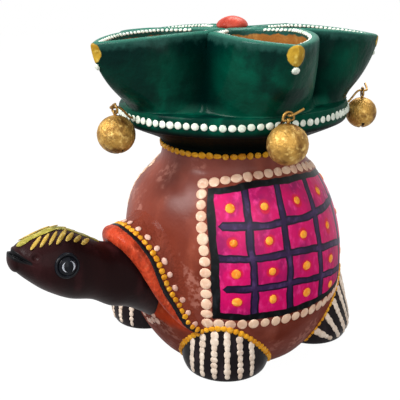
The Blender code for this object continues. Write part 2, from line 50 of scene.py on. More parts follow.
def easeStep(t):
    t = min(1.0, max(0.0, t))
    return t * t * (3.0 - 2.0 * t)


def hump(value):
    # 1 at 0, and fading to 0 on both sides.
    return math.exp(-value * value)


def curveThrough(points, steps):
    # Even steps along a smooth curve through points of any dimension.
    padded = [points[0], *points, points[-1]]
    spans = len(points) - 1
    result = []
    for step in range(steps + 1):
        place = min(step * spans / steps, spans - 1e-9)
        k = int(place)
        t = place - k
        row = []
        for a, b, c, d in zip(*padded[k:k + 4]):
            pull = (2 * a - 5 * b + 4 * c - d) * t * t + (3 * b - a - 3 * c + d) * t ** 3
            row.append(0.5 * (2 * b + (c - a) * t + pull))
        result.append(row)
    return result


def spoke(degrees):
    # Turns +X to the direction that lies this far round from the head, towards +X.
    return Matrix.Rotation(math.radians(degrees - 90.0), 4, "Z")


def outward(degrees):
    turn = math.radians(degrees)
    return Vector((math.sin(turn), -math.cos(turn), 0.0))


def atHeight(place, height):
    return Vector((place.x, place.y, height))


def towards(facing, way):
    return facing if facing.dot(way) > 0.0 else -facing


def numbered(number):
    return str(number + 1)


def evenDegrees(count):
    return [360.0 * i / count for i in range(count)]


def evenTurns(count):
    return [2 * math.pi * i / count for i in range(count)]


def skinRings(rings, capped=True):
    count = len(rings[0])
    verts = [point for ring in rings for point in ring]
    faces = []
    for row in range(len(rings) - 1):
        low, high = row * count, (row + 1) * count
        for i in range(count):
            j = (i + 1) % count
            faces.append((low + i, low + j, high + j, high + i))
    if capped:
        faces.append(tuple(range(count - 1, -1, -1)))
        faces.append(tuple(len(verts) - count + i for i in range(count)))
    return verts, faces


def linkNew(name, data):
    item = bpy.data.objects.new(name, data)
    bpy.context.scene.collection.objects.link(item)
    return item


def fromShape(name, shape):
    mesh = bpy.data.meshes.new(name)
    shape.to_mesh(mesh)
    shape.free()
    return linkNew(name, mesh)


def addPiece(name, verts, faces, material, values=None, sharp=70.0):
    mesh = bpy.data.meshes.new(name)
    mesh.from_pydata([tuple(point) for point in verts], [], faces)
    shape = bmesh.new()
    shape.from_mesh(mesh)
    bmesh.ops.recalc_face_normals(shape, faces=shape.faces)
    shape.to_mesh(mesh)
    shape.free()
    for key, row in (values or {}).items():
        mesh.attributes.new(key, "FLOAT", "POINT").data.foreach_set("value", row)
    mesh.shade_smooth()
    mesh.set_sharp_from_angle(angle=math.radians(sharp))
    mesh.materials.append(material)
    return linkNew(name, mesh)


def bake(item):
    # Leaves a plain mesh of what the modifiers or the curve make.
    graph = bpy.context.evaluated_depsgraph_get()
    mesh = bpy.data.meshes.new_from_object(item.evaluated_get(graph), depsgraph=graph)
    mesh.name = item.name
    if item.type == "MESH":
        item.modifiers.clear()
        item.data = mesh
        return item
    name = item.name
    bpy.data.objects.remove(item, do_unlink=True)
    return linkNew(name, mesh)


def settle(item, body, slotName, *nodes):
    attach(item, body)
    if nodes:
        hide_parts(*nodes)
    return item


def subtract(item, cutter):
    boolean = item.modifiers.new("cut", "BOOLEAN")
    boolean.operation = "DIFFERENCE"
    boolean.solver = "EXACT"
    boolean.object = cutter
    bake(item)
    bpy.data.objects.remove(cutter, do_unlink=True)


# Colours and shader tools

def tint(red, green, blue):
    # An sRGB colour of 0 to 255 as the linear one that shaders take.
    def channel(value):
        value /= 255.0
        return value / 12.92 if value <= 0.04045 else ((value + 0.055) / 1.055) ** 2.4
    return (channel(red), channel(green), channel(blue), 1.0)


def addNode(tree, kind, values=(), **settings):
    node = tree.nodes.new(kind)
    for key, value in settings.items():
        setattr(node, key, value)
    for key, value in dict(values).items():
        if isinstance(value, bpy.types.NodeSocket):
            tree.links.new(value, node.inputs[key])
        else:
            node.inputs[key].default_value = value
    return node


def calc(tree, operation, a, b=0.0, c=0.0):
    return addNode(tree, "ShaderNodeMath", {0: a, 1: b, 2: c}, operation=operation).outputs[0]


def plus(tree, a, b):
    return calc(tree, "ADD", a, b)


def minus(tree, a, b):
    return calc(tree, "SUBTRACT", a, b)


def times(tree, a, b):
    return calc(tree, "MULTIPLY", a, b)


def invert(tree, value):
    return minus(tree, 1.0, value)


def least(tree, *values):
    result = values[0]
    for value in values[1:]:
        result = calc(tree, "MINIMUM", result, value)
    return result


def nearest(tree, value, marks):
    # Distance from a value to the closest of several marks.
    return least(tree, *[calc(tree, "ABSOLUTE", minus(tree, value, mark)) for mark in marks])


def rampUp(tree, value, low, high):
    values = {"Value": value, "From Min": low, "From Max": high}
    return addNode(tree, "ShaderNodeMapRange", values, interpolation_type="SMOOTHSTEP").outputs[0]


def rampDown(tree, value, low, high):
    return invert(tree, rampUp(tree, value, low, high))


def layOver(tree, mask, under, over):
    return addNode(tree, "ShaderNodeMix", {0: mask, 6: under, 7: over}, data_type="RGBA").outputs[2]


def readValue(tree, name):
    return addNode(tree, "ShaderNodeAttribute", attribute_name=name).outputs["Fac"]


def objectPoint(tree):
    return addNode(tree, "ShaderNodeTexCoord").outputs["Object"]


def objectHeight(tree):
    return addNode(tree, "ShaderNodeSeparateXYZ", {0: objectPoint(tree)}).outputs[2]


def grain(tree, size, detail=2.0, vector=None):
    values = {"Vector": vector or objectPoint(tree), "Scale": size, "Detail": detail}
    return addNode(tree, "ShaderNodeTexNoise", values)


def smear(tree, under, value, look):
    # Lays a colour over another where a value goes up through a range.
    share = times(tree, rampUp(tree, value, *look["range"]), look["share"])
    return layOver(tree, share, under, tint(*look["colour"]))


def mottle(tree, under, look, vector=None):
    # Soft patches of one colour over another.
    return smear(tree, under, grain(tree, look["size"], look["detail"], vector).outputs[0], look)


def makeGroup(name, inputs, output, kind):
    tree = bpy.data.node_groups.new(name, "ShaderNodeTree")
    for label, socketKind, value in inputs:
        tree.interface.new_socket(label, in_out="INPUT", socket_type=socketKind).default_value = value
    tree.interface.new_socket(output, in_out="OUTPUT", socket_type=kind)
    return tree, tree.nodes.new("NodeGroupInput").outputs, tree.nodes.new("NodeGroupOutput").inputs


brushSizes = {"size": 140.0, "streak": 0.35, "broadShare": 0.3, "broadDetail": 3.0, "fineDetail": 5.0,
              "dark": (0.40, 0.72), "light": (0.48, 0.80)}
varnishSizes = {"size": 120.0, "depth": 0.0003, "fineShare": 5.0, "fineHeight": 0.18, "fineDetail": 3.0}


def makeBrushTone():
    # Uneven hand-laid paint: dark and light streaks over a base colour.
    s = brushSizes
    black = (0.0, 0.0, 0.0, 1.0)
    tree, given, result = makeGroup("brushTone", [
        ("Base", "NodeSocketColor", black), ("Shade", "NodeSocketColor", black),
        ("Light", "NodeSocketColor", black), ("Size", "NodeSocketFloat", s["size"]),
        ("Streak", "NodeSocketFloat", s["streak"])], "Colour", "NodeSocketColor")
    stretch = addNode(tree, "ShaderNodeCombineXYZ", {"X": 1.0, "Y": 1.0, "Z": given["Streak"]})
    place = addNode(tree, "ShaderNodeVectorMath", {0: objectPoint(tree), 1: stretch.outputs[0]},
                    operation="MULTIPLY").outputs[0]
    broad = grain(tree, times(tree, given["Size"], s["broadShare"]), s["broadDetail"], place).outputs[0]
    fine = grain(tree, given["Size"], s["fineDetail"], place).outputs[0]
    dark = layOver(tree, rampUp(tree, broad, *s["dark"]), given["Base"], given["Shade"])
    tree.links.new(layOver(tree, rampUp(tree, fine, *s["light"]), dark, given["Light"]), result[0])
    return tree


def makeVarnishRelief():
    # The soft lumps of a brushed varnish over hand-made clay.
    s = varnishSizes
    tree, given, result = makeGroup("varnishRelief", [
        ("Size", "NodeSocketFloat", s["size"]), ("Depth", "NodeSocketFloat", s["depth"])],
        "Normal", "NodeSocketVector")
    broad = grain(tree, given["Size"]).outputs[0]
    fine = grain(tree, times(tree, given["Size"], s["fineShare"]), s["fineDetail"]).outputs[0]
    height = plus(tree, broad, times(tree, fine, s["fineHeight"]))
    bump = addNode(tree, "ShaderNodeBump", {"Strength": 1.0, "Distance": given["Depth"], "Height": height})
    tree.links.new(bump.outputs[0], result[0])
    return tree


brushTone = makeBrushTone()
varnishRelief = makeVarnishRelief()


def useGroup(tree, group, **values):
    node = tree.nodes.new("ShaderNodeGroup")
    node.node_tree = group
    for key, value in values.items():
        node.inputs[key.capitalize()].default_value = value
    return node.outputs[0]


def brushed(tree, tones, size, streak):
    # Brushed paint in a base, a shade and a light tone.
    base, shade, light = (tint(*tone) for tone in tones)
    return useGroup(tree, brushTone, base=base, shade=shade, light=light, size=size, streak=streak)


def glazedPaint(name, tones, size=140.0, streak=0.35, roughness=0.42, coat=0.06, coatRoughness=0.14,
                specular=0.04, relief=0.0003, reliefSize=120.0, metallic=0.0, recolour=None, dulled=None):
    # Varnished paint. recolour paints over its colour, and the attribute that dulled names takes the shine.
    material = bpy.data.materials.new(name)
    material.use_nodes = True
    tree = material.node_tree
    shader = tree.nodes["Principled BSDF"]
    colour = brushed(tree, tones, size, streak)
    if recolour:
        colour = recolour(tree, colour)
    tree.links.new(colour, shader.inputs["Base Color"])
    tree.links.new(useGroup(tree, varnishRelief, size=reliefSize, depth=relief), shader.inputs["Normal"])
    for key, value in (("Roughness", roughness), ("Coat Weight", coat), ("Metallic", metallic),
                       ("Coat Roughness", coatRoughness), ("Specular IOR Level", specular)):
        shader.inputs[key].default_value = value
    if dulled:
        shine = invert(tree, readValue(tree, dulled))
        tree.links.new(times(tree, shine, coat), shader.inputs["Coat Weight"])
        tree.links.new(times(tree, shine, specular), shader.inputs["Specular IOR Level"])
    return material


# Paint dots: one node tree lays every row of dots and every brush stroke

dotDefaults = {"Spacing": 0.004, "Radius": 0.002, "Rise": 0.0006, "Stretch": 1.0, "Irregular": 0.14,
               "Seed": 1}
dotMesh = {"segments": 14, "rings": 8, "roughSize": 420.0}


def makeDotTree():
    tree = bpy.data.node_groups.new("paintDots", "GeometryNodeTree")
    face = tree.interface
    face.new_socket("Geometry", in_out="OUTPUT", socket_type="NodeSocketGeometry")
    for label, kind in (("Geometry", "Geometry"), ("Spacing", "Float"), ("Radius", "Float"),
                        ("Rise", "Float"), ("Stretch", "Float"), ("Irregular", "Float"),
                        ("Seed", "Int"), ("Scattered", "Bool"), ("Paint", "Material")):
        face.new_socket(label, in_out="INPUT", socket_type="NodeSocket" + kind)
    given = tree.nodes.new("NodeGroupInput").outputs
    curve = addNode(tree, "GeometryNodeMeshToCurve", {"Mesh": given["Geometry"]}).outputs[0]
    even = addNode(tree, "GeometryNodeResampleCurve", {"Curve": curve, "Length": given["Spacing"]},
                   mode="LENGTH").outputs[0]
    points = addNode(tree, "GeometryNodeSwitch", {"Switch": given["Scattered"], "False": even,
                                                   "True": given["Geometry"]}, input_type="GEOMETRY")

    def named(name, kind):
        return addNode(tree, "GeometryNodeInputNamedAttribute", {"Name": name}, data_type=kind).outputs[0]

    def vary(seedStep):
        low = invert(tree, given["Irregular"])
        high = plus(tree, 1.0, given["Irregular"])
        seed = plus(tree, given["Seed"], seedStep)
        return addNode(tree, "FunctionNodeRandomValue", {2: low, 3: high, 8: seed},
                       data_type="FLOAT").outputs[1]

    size = times(tree, given["Radius"], named("dotScale", "FLOAT"))
    turn = addNode(tree, "FunctionNodeAxesToRotation", {0: named("surfaceNormal", "FLOAT_VECTOR"),
                                                         1: named("strokeAxis", "FLOAT_VECTOR")},
                   primary_axis="Z", secondary_axis="X").outputs[0]
    along = times(tree, times(tree, size, given["Stretch"]), vary(1))
    scale = addNode(tree, "ShaderNodeCombineXYZ", {
        "X": along, "Y": times(tree, size, vary(2)), "Z": times(tree, given["Rise"], vary(3))}).outputs[0]
    ball = addNode(tree, "GeometryNodeMeshUVSphere", {
        "Segments": dotMesh["segments"], "Rings": dotMesh["rings"], "Radius": 1.0}).outputs[0]
    copies = addNode(tree, "GeometryNodeInstanceOnPoints", {
        "Points": points.outputs[0], "Instance": ball, "Rotation": turn, "Scale": scale}).outputs[0]
    real = addNode(tree, "GeometryNodeRealizeInstances", {"Geometry": copies}).outputs[0]
    rough = addNode(tree, "ShaderNodeTexNoise", {"Scale": dotMesh["roughSize"], "Detail": 1.0})
    middle = addNode(tree, "ShaderNodeVectorMath", {0: rough.outputs["Color"], 1: (0.5, 0.5, 0.5)},
                     operation="SUBTRACT")
    amount = times(tree, given["Radius"], given["Irregular"])
    push = addNode(tree, "ShaderNodeVectorMath", {0: middle.outputs[0], "Scale": amount}, operation="SCALE")
    moved = addNode(tree, "GeometryNodeSetPosition", {"Geometry": real, "Offset": push.outputs[0]})
    soft = addNode(tree, "GeometryNodeSetShadeSmooth", {"Geometry": moved.outputs[0]}).outputs[0]
    painted = addNode(tree, "GeometryNodeSetMaterial", {"Geometry": soft, "Material": given["Paint"]})
    tree.links.new(painted.outputs[0], tree.nodes.new("NodeGroupOutput").inputs[0])
    return tree


dotTree = makeDotTree()


def paintRow(name, path, material, slotName, closed=False, scattered=False, **sizes):
    # Lays dots or strokes along a path of (place, facing, axis, scale) rows on a surface.
    mesh = bpy.data.meshes.new(name)
    count = len(path)
    links = [] if scattered else [(i, i + 1) for i in range(count - 1)]
    if closed:
        links.append((count - 1, 0))
    mesh.from_pydata([tuple(row[0]) for row in path], links, [])
    for column, key in ((1, "surfaceNormal"), (2, "strokeAxis")):
        flat = [value for row in path for value in row[column]]
        mesh.attributes.new(key, "FLOAT_VECTOR", "POINT").data.foreach_set("vector", flat)
    mesh.attributes.new("dotScale", "FLOAT", "POINT").data.foreach_set("value", [row[3] for row in path])
    item = linkNew(name, mesh)
    modifier = item.modifiers.new("paintDots", "NODES")
    modifier.node_group = dotTree
    values = dict(dotDefaults, Scattered=scattered, Paint=material)
    values.update({key.capitalize(): value for key, value in sizes.items()})
    for socket in dotTree.interface.items_tree:
        if socket.in_out == "INPUT" and socket.name in values:
            modifier[socket.identifier] = values[socket.name]
    bake(item)
    return settle(item, "lamp", slotName)


def pathAlong(rows):
    # A path through (place, facing) rows, with the direction of travel at each.
    path = []
    for i, (place, facing) in enumerate(rows):
        ahead = rows[min(i + 1, len(rows) - 1)][0] - rows[max(i - 1, 0)][0]
        path.append((place, facing, ahead.normalized(), 1.0))
    return path


def pathOn(surface, marks, steps):
    # A path over a surface function that gives (place, facing) for a mark.
    return pathAlong([surface(*mark) for mark in curveThrough(marks, steps)])


def facingOf(surface, u, v, du, dv):
    # Unit normal of a surface function by small steps.
    along = surface(u + du, v) - surface(u - du, v)
    across = surface(u, v + dv) - surface(u, v - dv)
    return along.cross(across).normalized()


# Pot

potSizes = {"radius": 0.0616, "widestHeight": 0.0460, "baseRadius": 0.0450, "neckRadius": 0.0385,
            "shoulderHeight": 0.1056, "neckHeight": 0.1140, "fullness": 2.6, "neckBlend": 0.0050,
            "wall": 0.0060, "lean": 0.0016, "leanHeight": 0.088, "leanSpread": 0.024, "leanToward": 218.0,
            "leanFade": 0.02, "wobble": 0.0003, "wobbleRound": 1.7, "wobbleUp": 28.0, "wobbleFade": 0.01,
            "ventRadius": 0.0040, "ventOffset": 0.0250, "ventSegments": 40, "poleRadius": 0.002,
            "dull": 0.9, "dullHeight": 0.035, "dullSpan": 0.055, "segments": 200, "levels": 110,
            "innerStart": 6, "innerStep": 4}


def potRadius(height):
    s = potSizes
    lift = height - s["widestHeight"]
    if lift < 0.0:
        depth = s["widestHeight"] / math.sqrt(1.0 - (s["baseRadius"] / s["radius"]) ** 2)
        return s["radius"] * math.sqrt(max(0.0, 1.0 - (lift / depth) ** 2))
    power = s["fullness"]
    closing = (1.0 - (s["neckRadius"] / s["radius"]) ** power) ** (1.0 / power)
    rise = (s["shoulderHeight"] - s["widestHeight"]) / closing
    belly = s["radius"] * max(0.0, 1.0 - (lift / rise) ** power) ** (1.0 / power)
    soft = s["neckBlend"] * lift / (s["neckHeight"] - s["widestHeight"])
    return (belly + s["neckRadius"] + math.hypot(belly - s["neckRadius"], soft)) / 2.0


def potPoint(degrees, height, lift=0.0):
    s = potSizes
    out = outward(degrees)
    bump = hump((height - s["leanHeight"]) / s["leanSpread"])
    bump *= easeStep((s["neckHeight"] - height) / s["leanFade"])
    toward = math.radians(s["leanToward"])
    lean = Vector((math.cos(toward), math.sin(toward), 0.0))
    rough = noise.noise(out * s["wobbleRound"] + upward * (height * s["wobbleUp"])) * s["wobble"]
    rough *= easeStep((s["neckHeight"] - height) / s["wobbleFade"])
    place = lean * (s["lean"] * bump) + out * (potRadius(height) + rough + lift)
    return atHeight(place, height)


def potSurface(degrees, height):
    return potPoint(degrees, height), facingOf(potPoint, degrees, height, smallTurn, smallStep)


# Angles of the panel are degrees round from the head, and heights and widths are millimetres.
panelSizes = {"dotAngle": 40.0, "bow": 0.0035, "bowStart": 60.0, "middle": 70.0, "halfSpan": 36.0,
              "leftBorder": 42.9, "rightBorder": 148.0, "columns": (62.3, 80.2, 100.5, 124.0),
              "rows": (84.3, 69.5, 54.0), "cellAngles": (54.2, 71.2, 90.2, 110.2, 137.0),
              "cellHeights": (92.4, 76.9, 61.8, 47.0), "top": 103.3, "bottom": 36.6, "topBow": 0.0015,
              "topMiddle": 83.0, "rightRowDrop": 3.4, "dropRange": (64.0, 84.0), "dropLimit": 1.8,
              "lateStart": 6.5, "topBand": 1.35, "outline": (-0.2, 0.2), "band": (3.6, 4.0),
              "line": (1.75, 2.15), "lineCore": (0.9, 1.35), "halo": (2.3, 3.4), "haloShare": 0.8,
              "drift": 3.2, "driftSize": 75.0, "dotsOut": 2.7, "dotsUp": 2.4, "cornerLead": 7.0,
              "marks": 8, "pathSteps": 60}
panelTones = {"pink": (((202, 16, 96), (146, 18, 86), (230, 58, 136)), 300.0, 0.6), "halo": (205, 30, 50),
              "navy": (((50, 30, 66), (30, 17, 42), (80, 56, 100)), 260.0, 0.6), "lineEdge": (22, 16, 36),
              "border": (((14, 15, 17), (8, 8, 10), (38, 42, 46)), 240.0, 0.5)}
panelRow = {"spacing": 0.0056, "radius": 0.0028, "rise": 0.0005, "irregular": 0.15}
cellRow = {"radius": 0.0022, "rise": 0.0005, "irregular": 0.16, "seed": 11}


def panelColour(tree, under):
    s = panelSizes
    waves = grain(tree, s["driftSize"]).outputs["Color"]
    drift = addNode(tree, "ShaderNodeSeparateColor", {0: waves}).outputs

    def drifted(name, channel):
        offset = times(tree, minus(tree, drift[channel], 0.5), s["drift"])
        return plus(tree, readValue(tree, name), offset)

    def square(value, centre):
        away = minus(tree, value, centre)
        return times(tree, away, away)

    angle = drifted("paintAngle", 0)
    height = drifted("paintHeight", 1)
    bow = times(tree, square(calc(tree, "MAXIMUM", height, s["bowStart"]), s["bowStart"]), s["bow"])
    side = calc(tree, "DIVIDE", minus(tree, s["middle"], angle), s["halfSpan"])
    column = plus(tree, angle, times(tree, bow, side))
    past = calc(tree, "MAXIMUM", times(tree, side, -1.0), 0.0)
    past = calc(tree, "MINIMUM", past, s["dropLimit"])
    drop = times(tree, times(tree, past, past), s["rightRowDrop"])
    row = plus(tree, height, times(tree, drop, rampDown(tree, height, *s["dropRange"])))
    arch = times(tree, square(angle, s["topMiddle"]), s["topBow"])
    roof = times(tree, minus(tree, minus(tree, s["top"], arch), height), s["topBand"])
    inside = least(tree, minus(tree, column, s["leftBorder"]), minus(tree, s["rightBorder"], column), roof,
                   minus(tree, height, s["bottom"]))
    late = calc(tree, "MAXIMUM", minus(tree, s["leftBorder"] + s["lateStart"], column), 0.0)
    upperRow, middleRow, lowerRow = s["rows"]
    outerRows = plus(tree, nearest(tree, row, (upperRow, lowerRow)), late)
    toLine = least(tree, nearest(tree, column, s["columns"]), nearest(tree, row, (middleRow,)), outerRows)
    across = nearest(tree, column, s["cellAngles"])
    up = nearest(tree, row, s["cellHeights"])
    toDot = calc(tree, "SQRT", plus(tree, times(tree, across, across), times(tree, up, up)))
    pink = brushed(tree, *panelTones["pink"])
    halo = times(tree, rampDown(tree, toDot, *s["halo"]), s["haloShare"])
    cells = layOver(tree, halo, pink, tint(*panelTones["halo"]))
    cells = layOver(tree, rampDown(tree, toLine, *s["line"]), cells, tint(*panelTones["lineEdge"]))
    cells = layOver(tree, rampDown(tree, toLine, *s["lineCore"]), cells, brushed(tree, *panelTones["navy"]))
    border = brushed(tree, *panelTones["border"])
    panel = layOver(tree, rampUp(tree, inside, *s["band"]), border, cells)
    return layOver(tree, rampUp(tree, inside, *s["outline"]), under, panel)


brownTones = ((118, 50, 34), (100, 40, 27), (134, 64, 46))
brownBrush = {"size": 90.0, "streak": 0.35}
neckBand = {"slope": 1.08, "low": 48.0, "rise": 12.0, "lowSoft": (-1.0, 1.0), "high": (60.5, 61.5),
            "fade": (23.0, 31.0), "ragged": 4.0, "raggedSize": 200.0, "raggedDetail": 3.0,
            "orange": (((180, 60, 28), (146, 46, 22), (204, 84, 48)), 260.0, 0.6)}
# Pale mauve patches over the brown: partly worn varnish, partly painted sheen of the varnish.
potScuffAndSheen = {"size": 30.0, "detail": 6.0, "range": (0.46, 0.66), "share": 0.38, "colour": (142, 84, 76)}
potWear = {"size": 42.0, "detail": 8.0, "range": (0.52, 0.62), "fleckSize": 420.0, "fleckDetail": 3.0,
           "fleckRange": (0.42, 0.60), "share": 0.62, "colour": (168, 110, 96)}


def potColour(tree, under):
    # The orange of the collar runs out over the belly, then the panel is laid on.
    s, w = neckBand, potWear
    uneven = minus(tree, grain(tree, s["raggedSize"], s["raggedDetail"]).outputs[0], 0.5)
    height = plus(tree, readValue(tree, "paintHeight"), times(tree, uneven, s["ragged"]))
    across = plus(tree, height, times(tree, readValue(tree, "paintAngle"), s["slope"]))
    fade = rampUp(tree, height, *s["fade"])
    low = calc(tree, "MULTIPLY_ADD", fade, -s["rise"], s["low"])
    band = times(tree, rampUp(tree, minus(tree, across, low), *s["lowSoft"]), fade)
    band = times(tree, band, rampDown(tree, across, *s["high"]))
    # Pale mauve patches: worn varnish and painted sheen.
    colour = mottle(tree, under, potScuffAndSheen)
    worn = rampUp(tree, grain(tree, w["size"], w["detail"]).outputs[0], *w["range"])
    flecks = rampUp(tree, grain(tree, w["fleckSize"], w["fleckDetail"]).outputs[0], *w["fleckRange"])
    wear = times(tree, times(tree, worn, flecks), w["share"])
    colour = layOver(tree, wear, colour, tint(*w["colour"]))
    return panelColour(tree, layOver(tree, band, colour, brushed(tree, *s["orange"])))


brownPaint = glazedPaint("brownPaint", brownTones, roughness=0.44, coat=0.24, coatRoughness=0.30,
                         specular=0.05, relief=0.0005, reliefSize=170.0, recolour=potColour,
                         dulled="lowDull", **brownBrush)


def buildPot():
    s = potSizes
    turns = evenDegrees(s["segments"])
    heights = [s["neckHeight"] * i / s["levels"] for i in range(s["levels"] + 1)]
    innerHeights = reversed(heights[s["innerStart"]::s["innerStep"]])
    rings = [[outward(a) * s["poleRadius"] for a in turns]]
    rings += [[potPoint(a, z) for a in turns] for z in heights]
    rings += [[potPoint(a, z, -s["wall"]) for a in turns] for z in innerHeights]
    rings.append([atHeight(outward(a) * s["poleRadius"], s["wall"]) for a in turns])
    verts, faces = skinRings(rings)
    values = {"paintAngle": [abs(math.degrees(math.atan2(p.x, -p.y))) for p in verts],
              "paintHeight": [p.z * perMetre for p in verts]}
    for row in range(len(heights)):
        for i, a in enumerate(turns):
            values["paintAngle"][(row + 1) * len(turns) + i] = min(a, 360.0 - a)
    bright = [easeStep((p.z - s["dullHeight"]) / s["dullSpan"]) for p in verts]
    values["lowDull"] = [s["dull"] * (1.0 - share) for share in bright]
    pot = addPiece("potBody", verts, faces, brownPaint, values)
    drill = bmesh.new()
    bmesh.ops.create_cone(drill, cap_ends=True, segments=s["ventSegments"], radius1=s["ventRadius"],
                          radius2=s["ventRadius"], depth=4 * s["wall"],
                          matrix=Matrix.Translation((0.0, s["ventOffset"], 0.0)))
    subtract(pot, fromShape("ventDrill", drill))
    settle(pot, "lamp", "brown_clay", "body_pot")


buildPot()
print("stage: pot")

dotFinish = {"size": 500.0, "streak": 1.0, "roughness": 0.38, "relief": 0.0001, "reliefSize": 600.0}
creamPaint = glazedPaint("creamPaint", ((228, 192, 164), (208, 162, 136), (242, 216, 194)), **dotFinish)
stripePaint = glazedPaint("stripePaint", ((226, 208, 190), (202, 178, 158), (244, 230, 216)), **dotFinish)
blushPaint = glazedPaint("blushPaint", ((222, 180, 162), (196, 146, 130), (240, 208, 192)), **dotFinish)
whitePaint = glazedPaint("whitePaint", ((220, 226, 212), (190, 200, 184), (244, 246, 238)), **dotFinish)
warmFinish = dict(dotFinish, coat=0.07)
amberPaint = glazedPaint("amberPaint", ((222, 156, 34), (190, 116, 18), (242, 192, 78)), **warmFinish)
squarePaint = glazedPaint("squarePaint", ((248, 164, 56), (232, 120, 34), (254, 196, 92)), **warmFinish)
linePaint = glazedPaint("linePaint", ((24, 20, 22), (12, 10, 12), (46, 40, 44)), size=300.0, streak=1.0,
                        roughness=0.35, coat=0.08, relief=0.0001, reliefSize=500.0)


def panelMark(column, height):
    # The place on the pot of a panel column and height, undoing the bow of the panel's sides.
    s = panelSizes
    share = s["bow"] * max(0.0, height - s["bowStart"]) ** 2 / s["halfSpan"]
    return (column - share * s["middle"]) / (1.0 - share), height


def panelEdges():
    # Marks along the front, top, back and bottom row of dots round the panel.
    s = panelSizes
    left, right = s["dotAngle"], s["rightBorder"] + s["dotsOut"]
    low, high = s["bottom"] - s["dotsOut"], s["top"] + s["dotsUp"]
    shares = [i / s["marks"] for i in range(s["marks"] + 1)]

    def archHeight(angle):
        return high - s["topBow"] * (angle - s["topMiddle"]) ** 2

    front = [panelMark(left, mixValue(low, archHeight(left - s["cornerLead"]), t)) for t in shares]
    angles = [mixValue(front[-1][0], panelMark(right, high)[0], t) for t in shares]
    roof = [(angle, archHeight(angle)) for angle in angles]
    back = [panelMark(right, mixValue(roof[-1][1], low, t)) for t in shares]
    floor = [(mixValue(back[-1][0], front[0][0], t), low) for t in shares]
    return ("Front", front, 3), ("Top", roof, 5), ("Back", back, 7), ("Low", floor, 9)


def cellPlaces():
    # Angle and height of the dot in each cell of the panel.
    s = panelSizes
    dropStart, dropEnd = s["dropRange"]
    places = []
    for column in s["cellAngles"]:
        for height in s["cellHeights"]:
            angle, level = panelMark(column, height)
            past = min(s["dropLimit"], max(0.0, (angle - s["middle"]) / s["halfSpan"]))
            fade = 1.0 - easeStep((level - dropStart) / (dropEnd - dropStart))
            places.append((angle, level - s["rightRowDrop"] * past * past * fade))
    return places


def paintPanel(sign, label):
    def onSide(angle, height):
        return potSurface(sign * angle, height / perMetre)

    for part, marks, seed in panelEdges():
        path = pathOn(onSide, marks, panelSizes["pathSteps"])
        paintRow("panelDots" + part + label, path, creamPaint, "brown_clay", seed=seed, **panelRow)
    cells = [(*onSide(*place), upward, 1.0) for place in cellPlaces()]
    paintRow("cellDots" + label, cells, squarePaint, "brown_clay", scattered=True, **cellRow)


paintPanel(1, "Left")
paintPanel(-1, "Right")
print("stage: pot paint")


# Plate

plateSizes = {"radius": 0.0612, "top": 0.1380, "edgeHeight": 0.0092, "bulge": 0.0014, "footHeight": 0.0030,
              "footWall": 0.0060, "footRound": 0.0008, "footSwell": 0.0004, "vault": 0.0160, "gap": 0.0003,
              "waist": 0.0035, "poleRadius": 0.002, "wobble": 0.00025, "wobbleRound": 1.3, "wobbleUp": 40.0,
              "wobbleShift": 3.0, "wobbleFrom": 0.04, "underDull": 0.75, "dotHeight": 0.1342,
              "dotSink": 0.0002, "dotTilt": 0.25, "ringRadius": 0.0394, "ringHeight": 0.1150, "bob": 0.0005,
              "bobRound": 2.5, "ringBob": 0.6, "segments": 180, "steps": 24, "footSteps": 6, "dotMarks": 240}
plateShadow = {"range": (0.1294, 0.1322), "share": 0.97, "colour": (5, 9, 9)}
plateRow = {"spacing": 0.0043, "radius": 0.0020, "rise": 0.0007, "irregular": 0.13, "seed": 21}
neckRow = {"spacing": 0.0041, "radius": 0.0016, "rise": 0.0007, "stretch": 1.25, "irregular": 0.16,
           "seed": 23}


def plateColour(tree, under):
    low = times(tree, rampDown(tree, objectHeight(tree), *plateShadow["range"]), plateShadow["share"])
    return layOver(tree, low, under, tint(*plateShadow["colour"]))


greenTones = ((0, 57, 42), (0, 31, 26), (0, 80, 60))
platePaint = glazedPaint("platePaint", greenTones, size=150.0, coat=0.03, specular=0.02,
                         recolour=plateColour, dulled="underside")


def plateProfile():
    s = plateSizes
    steps = s["steps"]
    neck = potRadius(potSizes["neckHeight"])
    foot = potSizes["neckHeight"] + s["gap"]
    rows = [(s["poleRadius"], foot + s["vault"])]
    for i in range(steps - 1, -1, -1):
        a = math.pi / 2 * i / steps
        rows.append(((neck - s["footWall"]) * math.cos(a), foot + s["vault"] * math.sin(a)))
    rows.append((neck - s["footRound"], foot))
    turn = foot + s["footHeight"]
    for i in range(s["footSteps"] + 1):
        t = i / s["footSteps"]
        swell = s["footSwell"] * math.sin(math.pi * t)
        rows.append((neck + swell, mixValue(foot + s["footRound"], turn, t)))
    edge = s["top"] - s["edgeHeight"]
    lip = s["radius"] - s["bulge"]
    for i in range(1, steps + 1):
        t = i / steps
        flare = mixValue(neck, lip, t) - s["waist"] * math.sin(math.pi * t) * (1.0 - t)
        rows.append((flare, mixValue(turn, edge, t)))
    for i in range(1, steps + 1):
        a = math.pi * (i / steps - 0.5)
        rows.append((lip + s["bulge"] * math.cos(a), (edge + s["top"] + s["edgeHeight"] * math.sin(a)) / 2))
    rows.append((s["poleRadius"], s["top"]))
    return rows


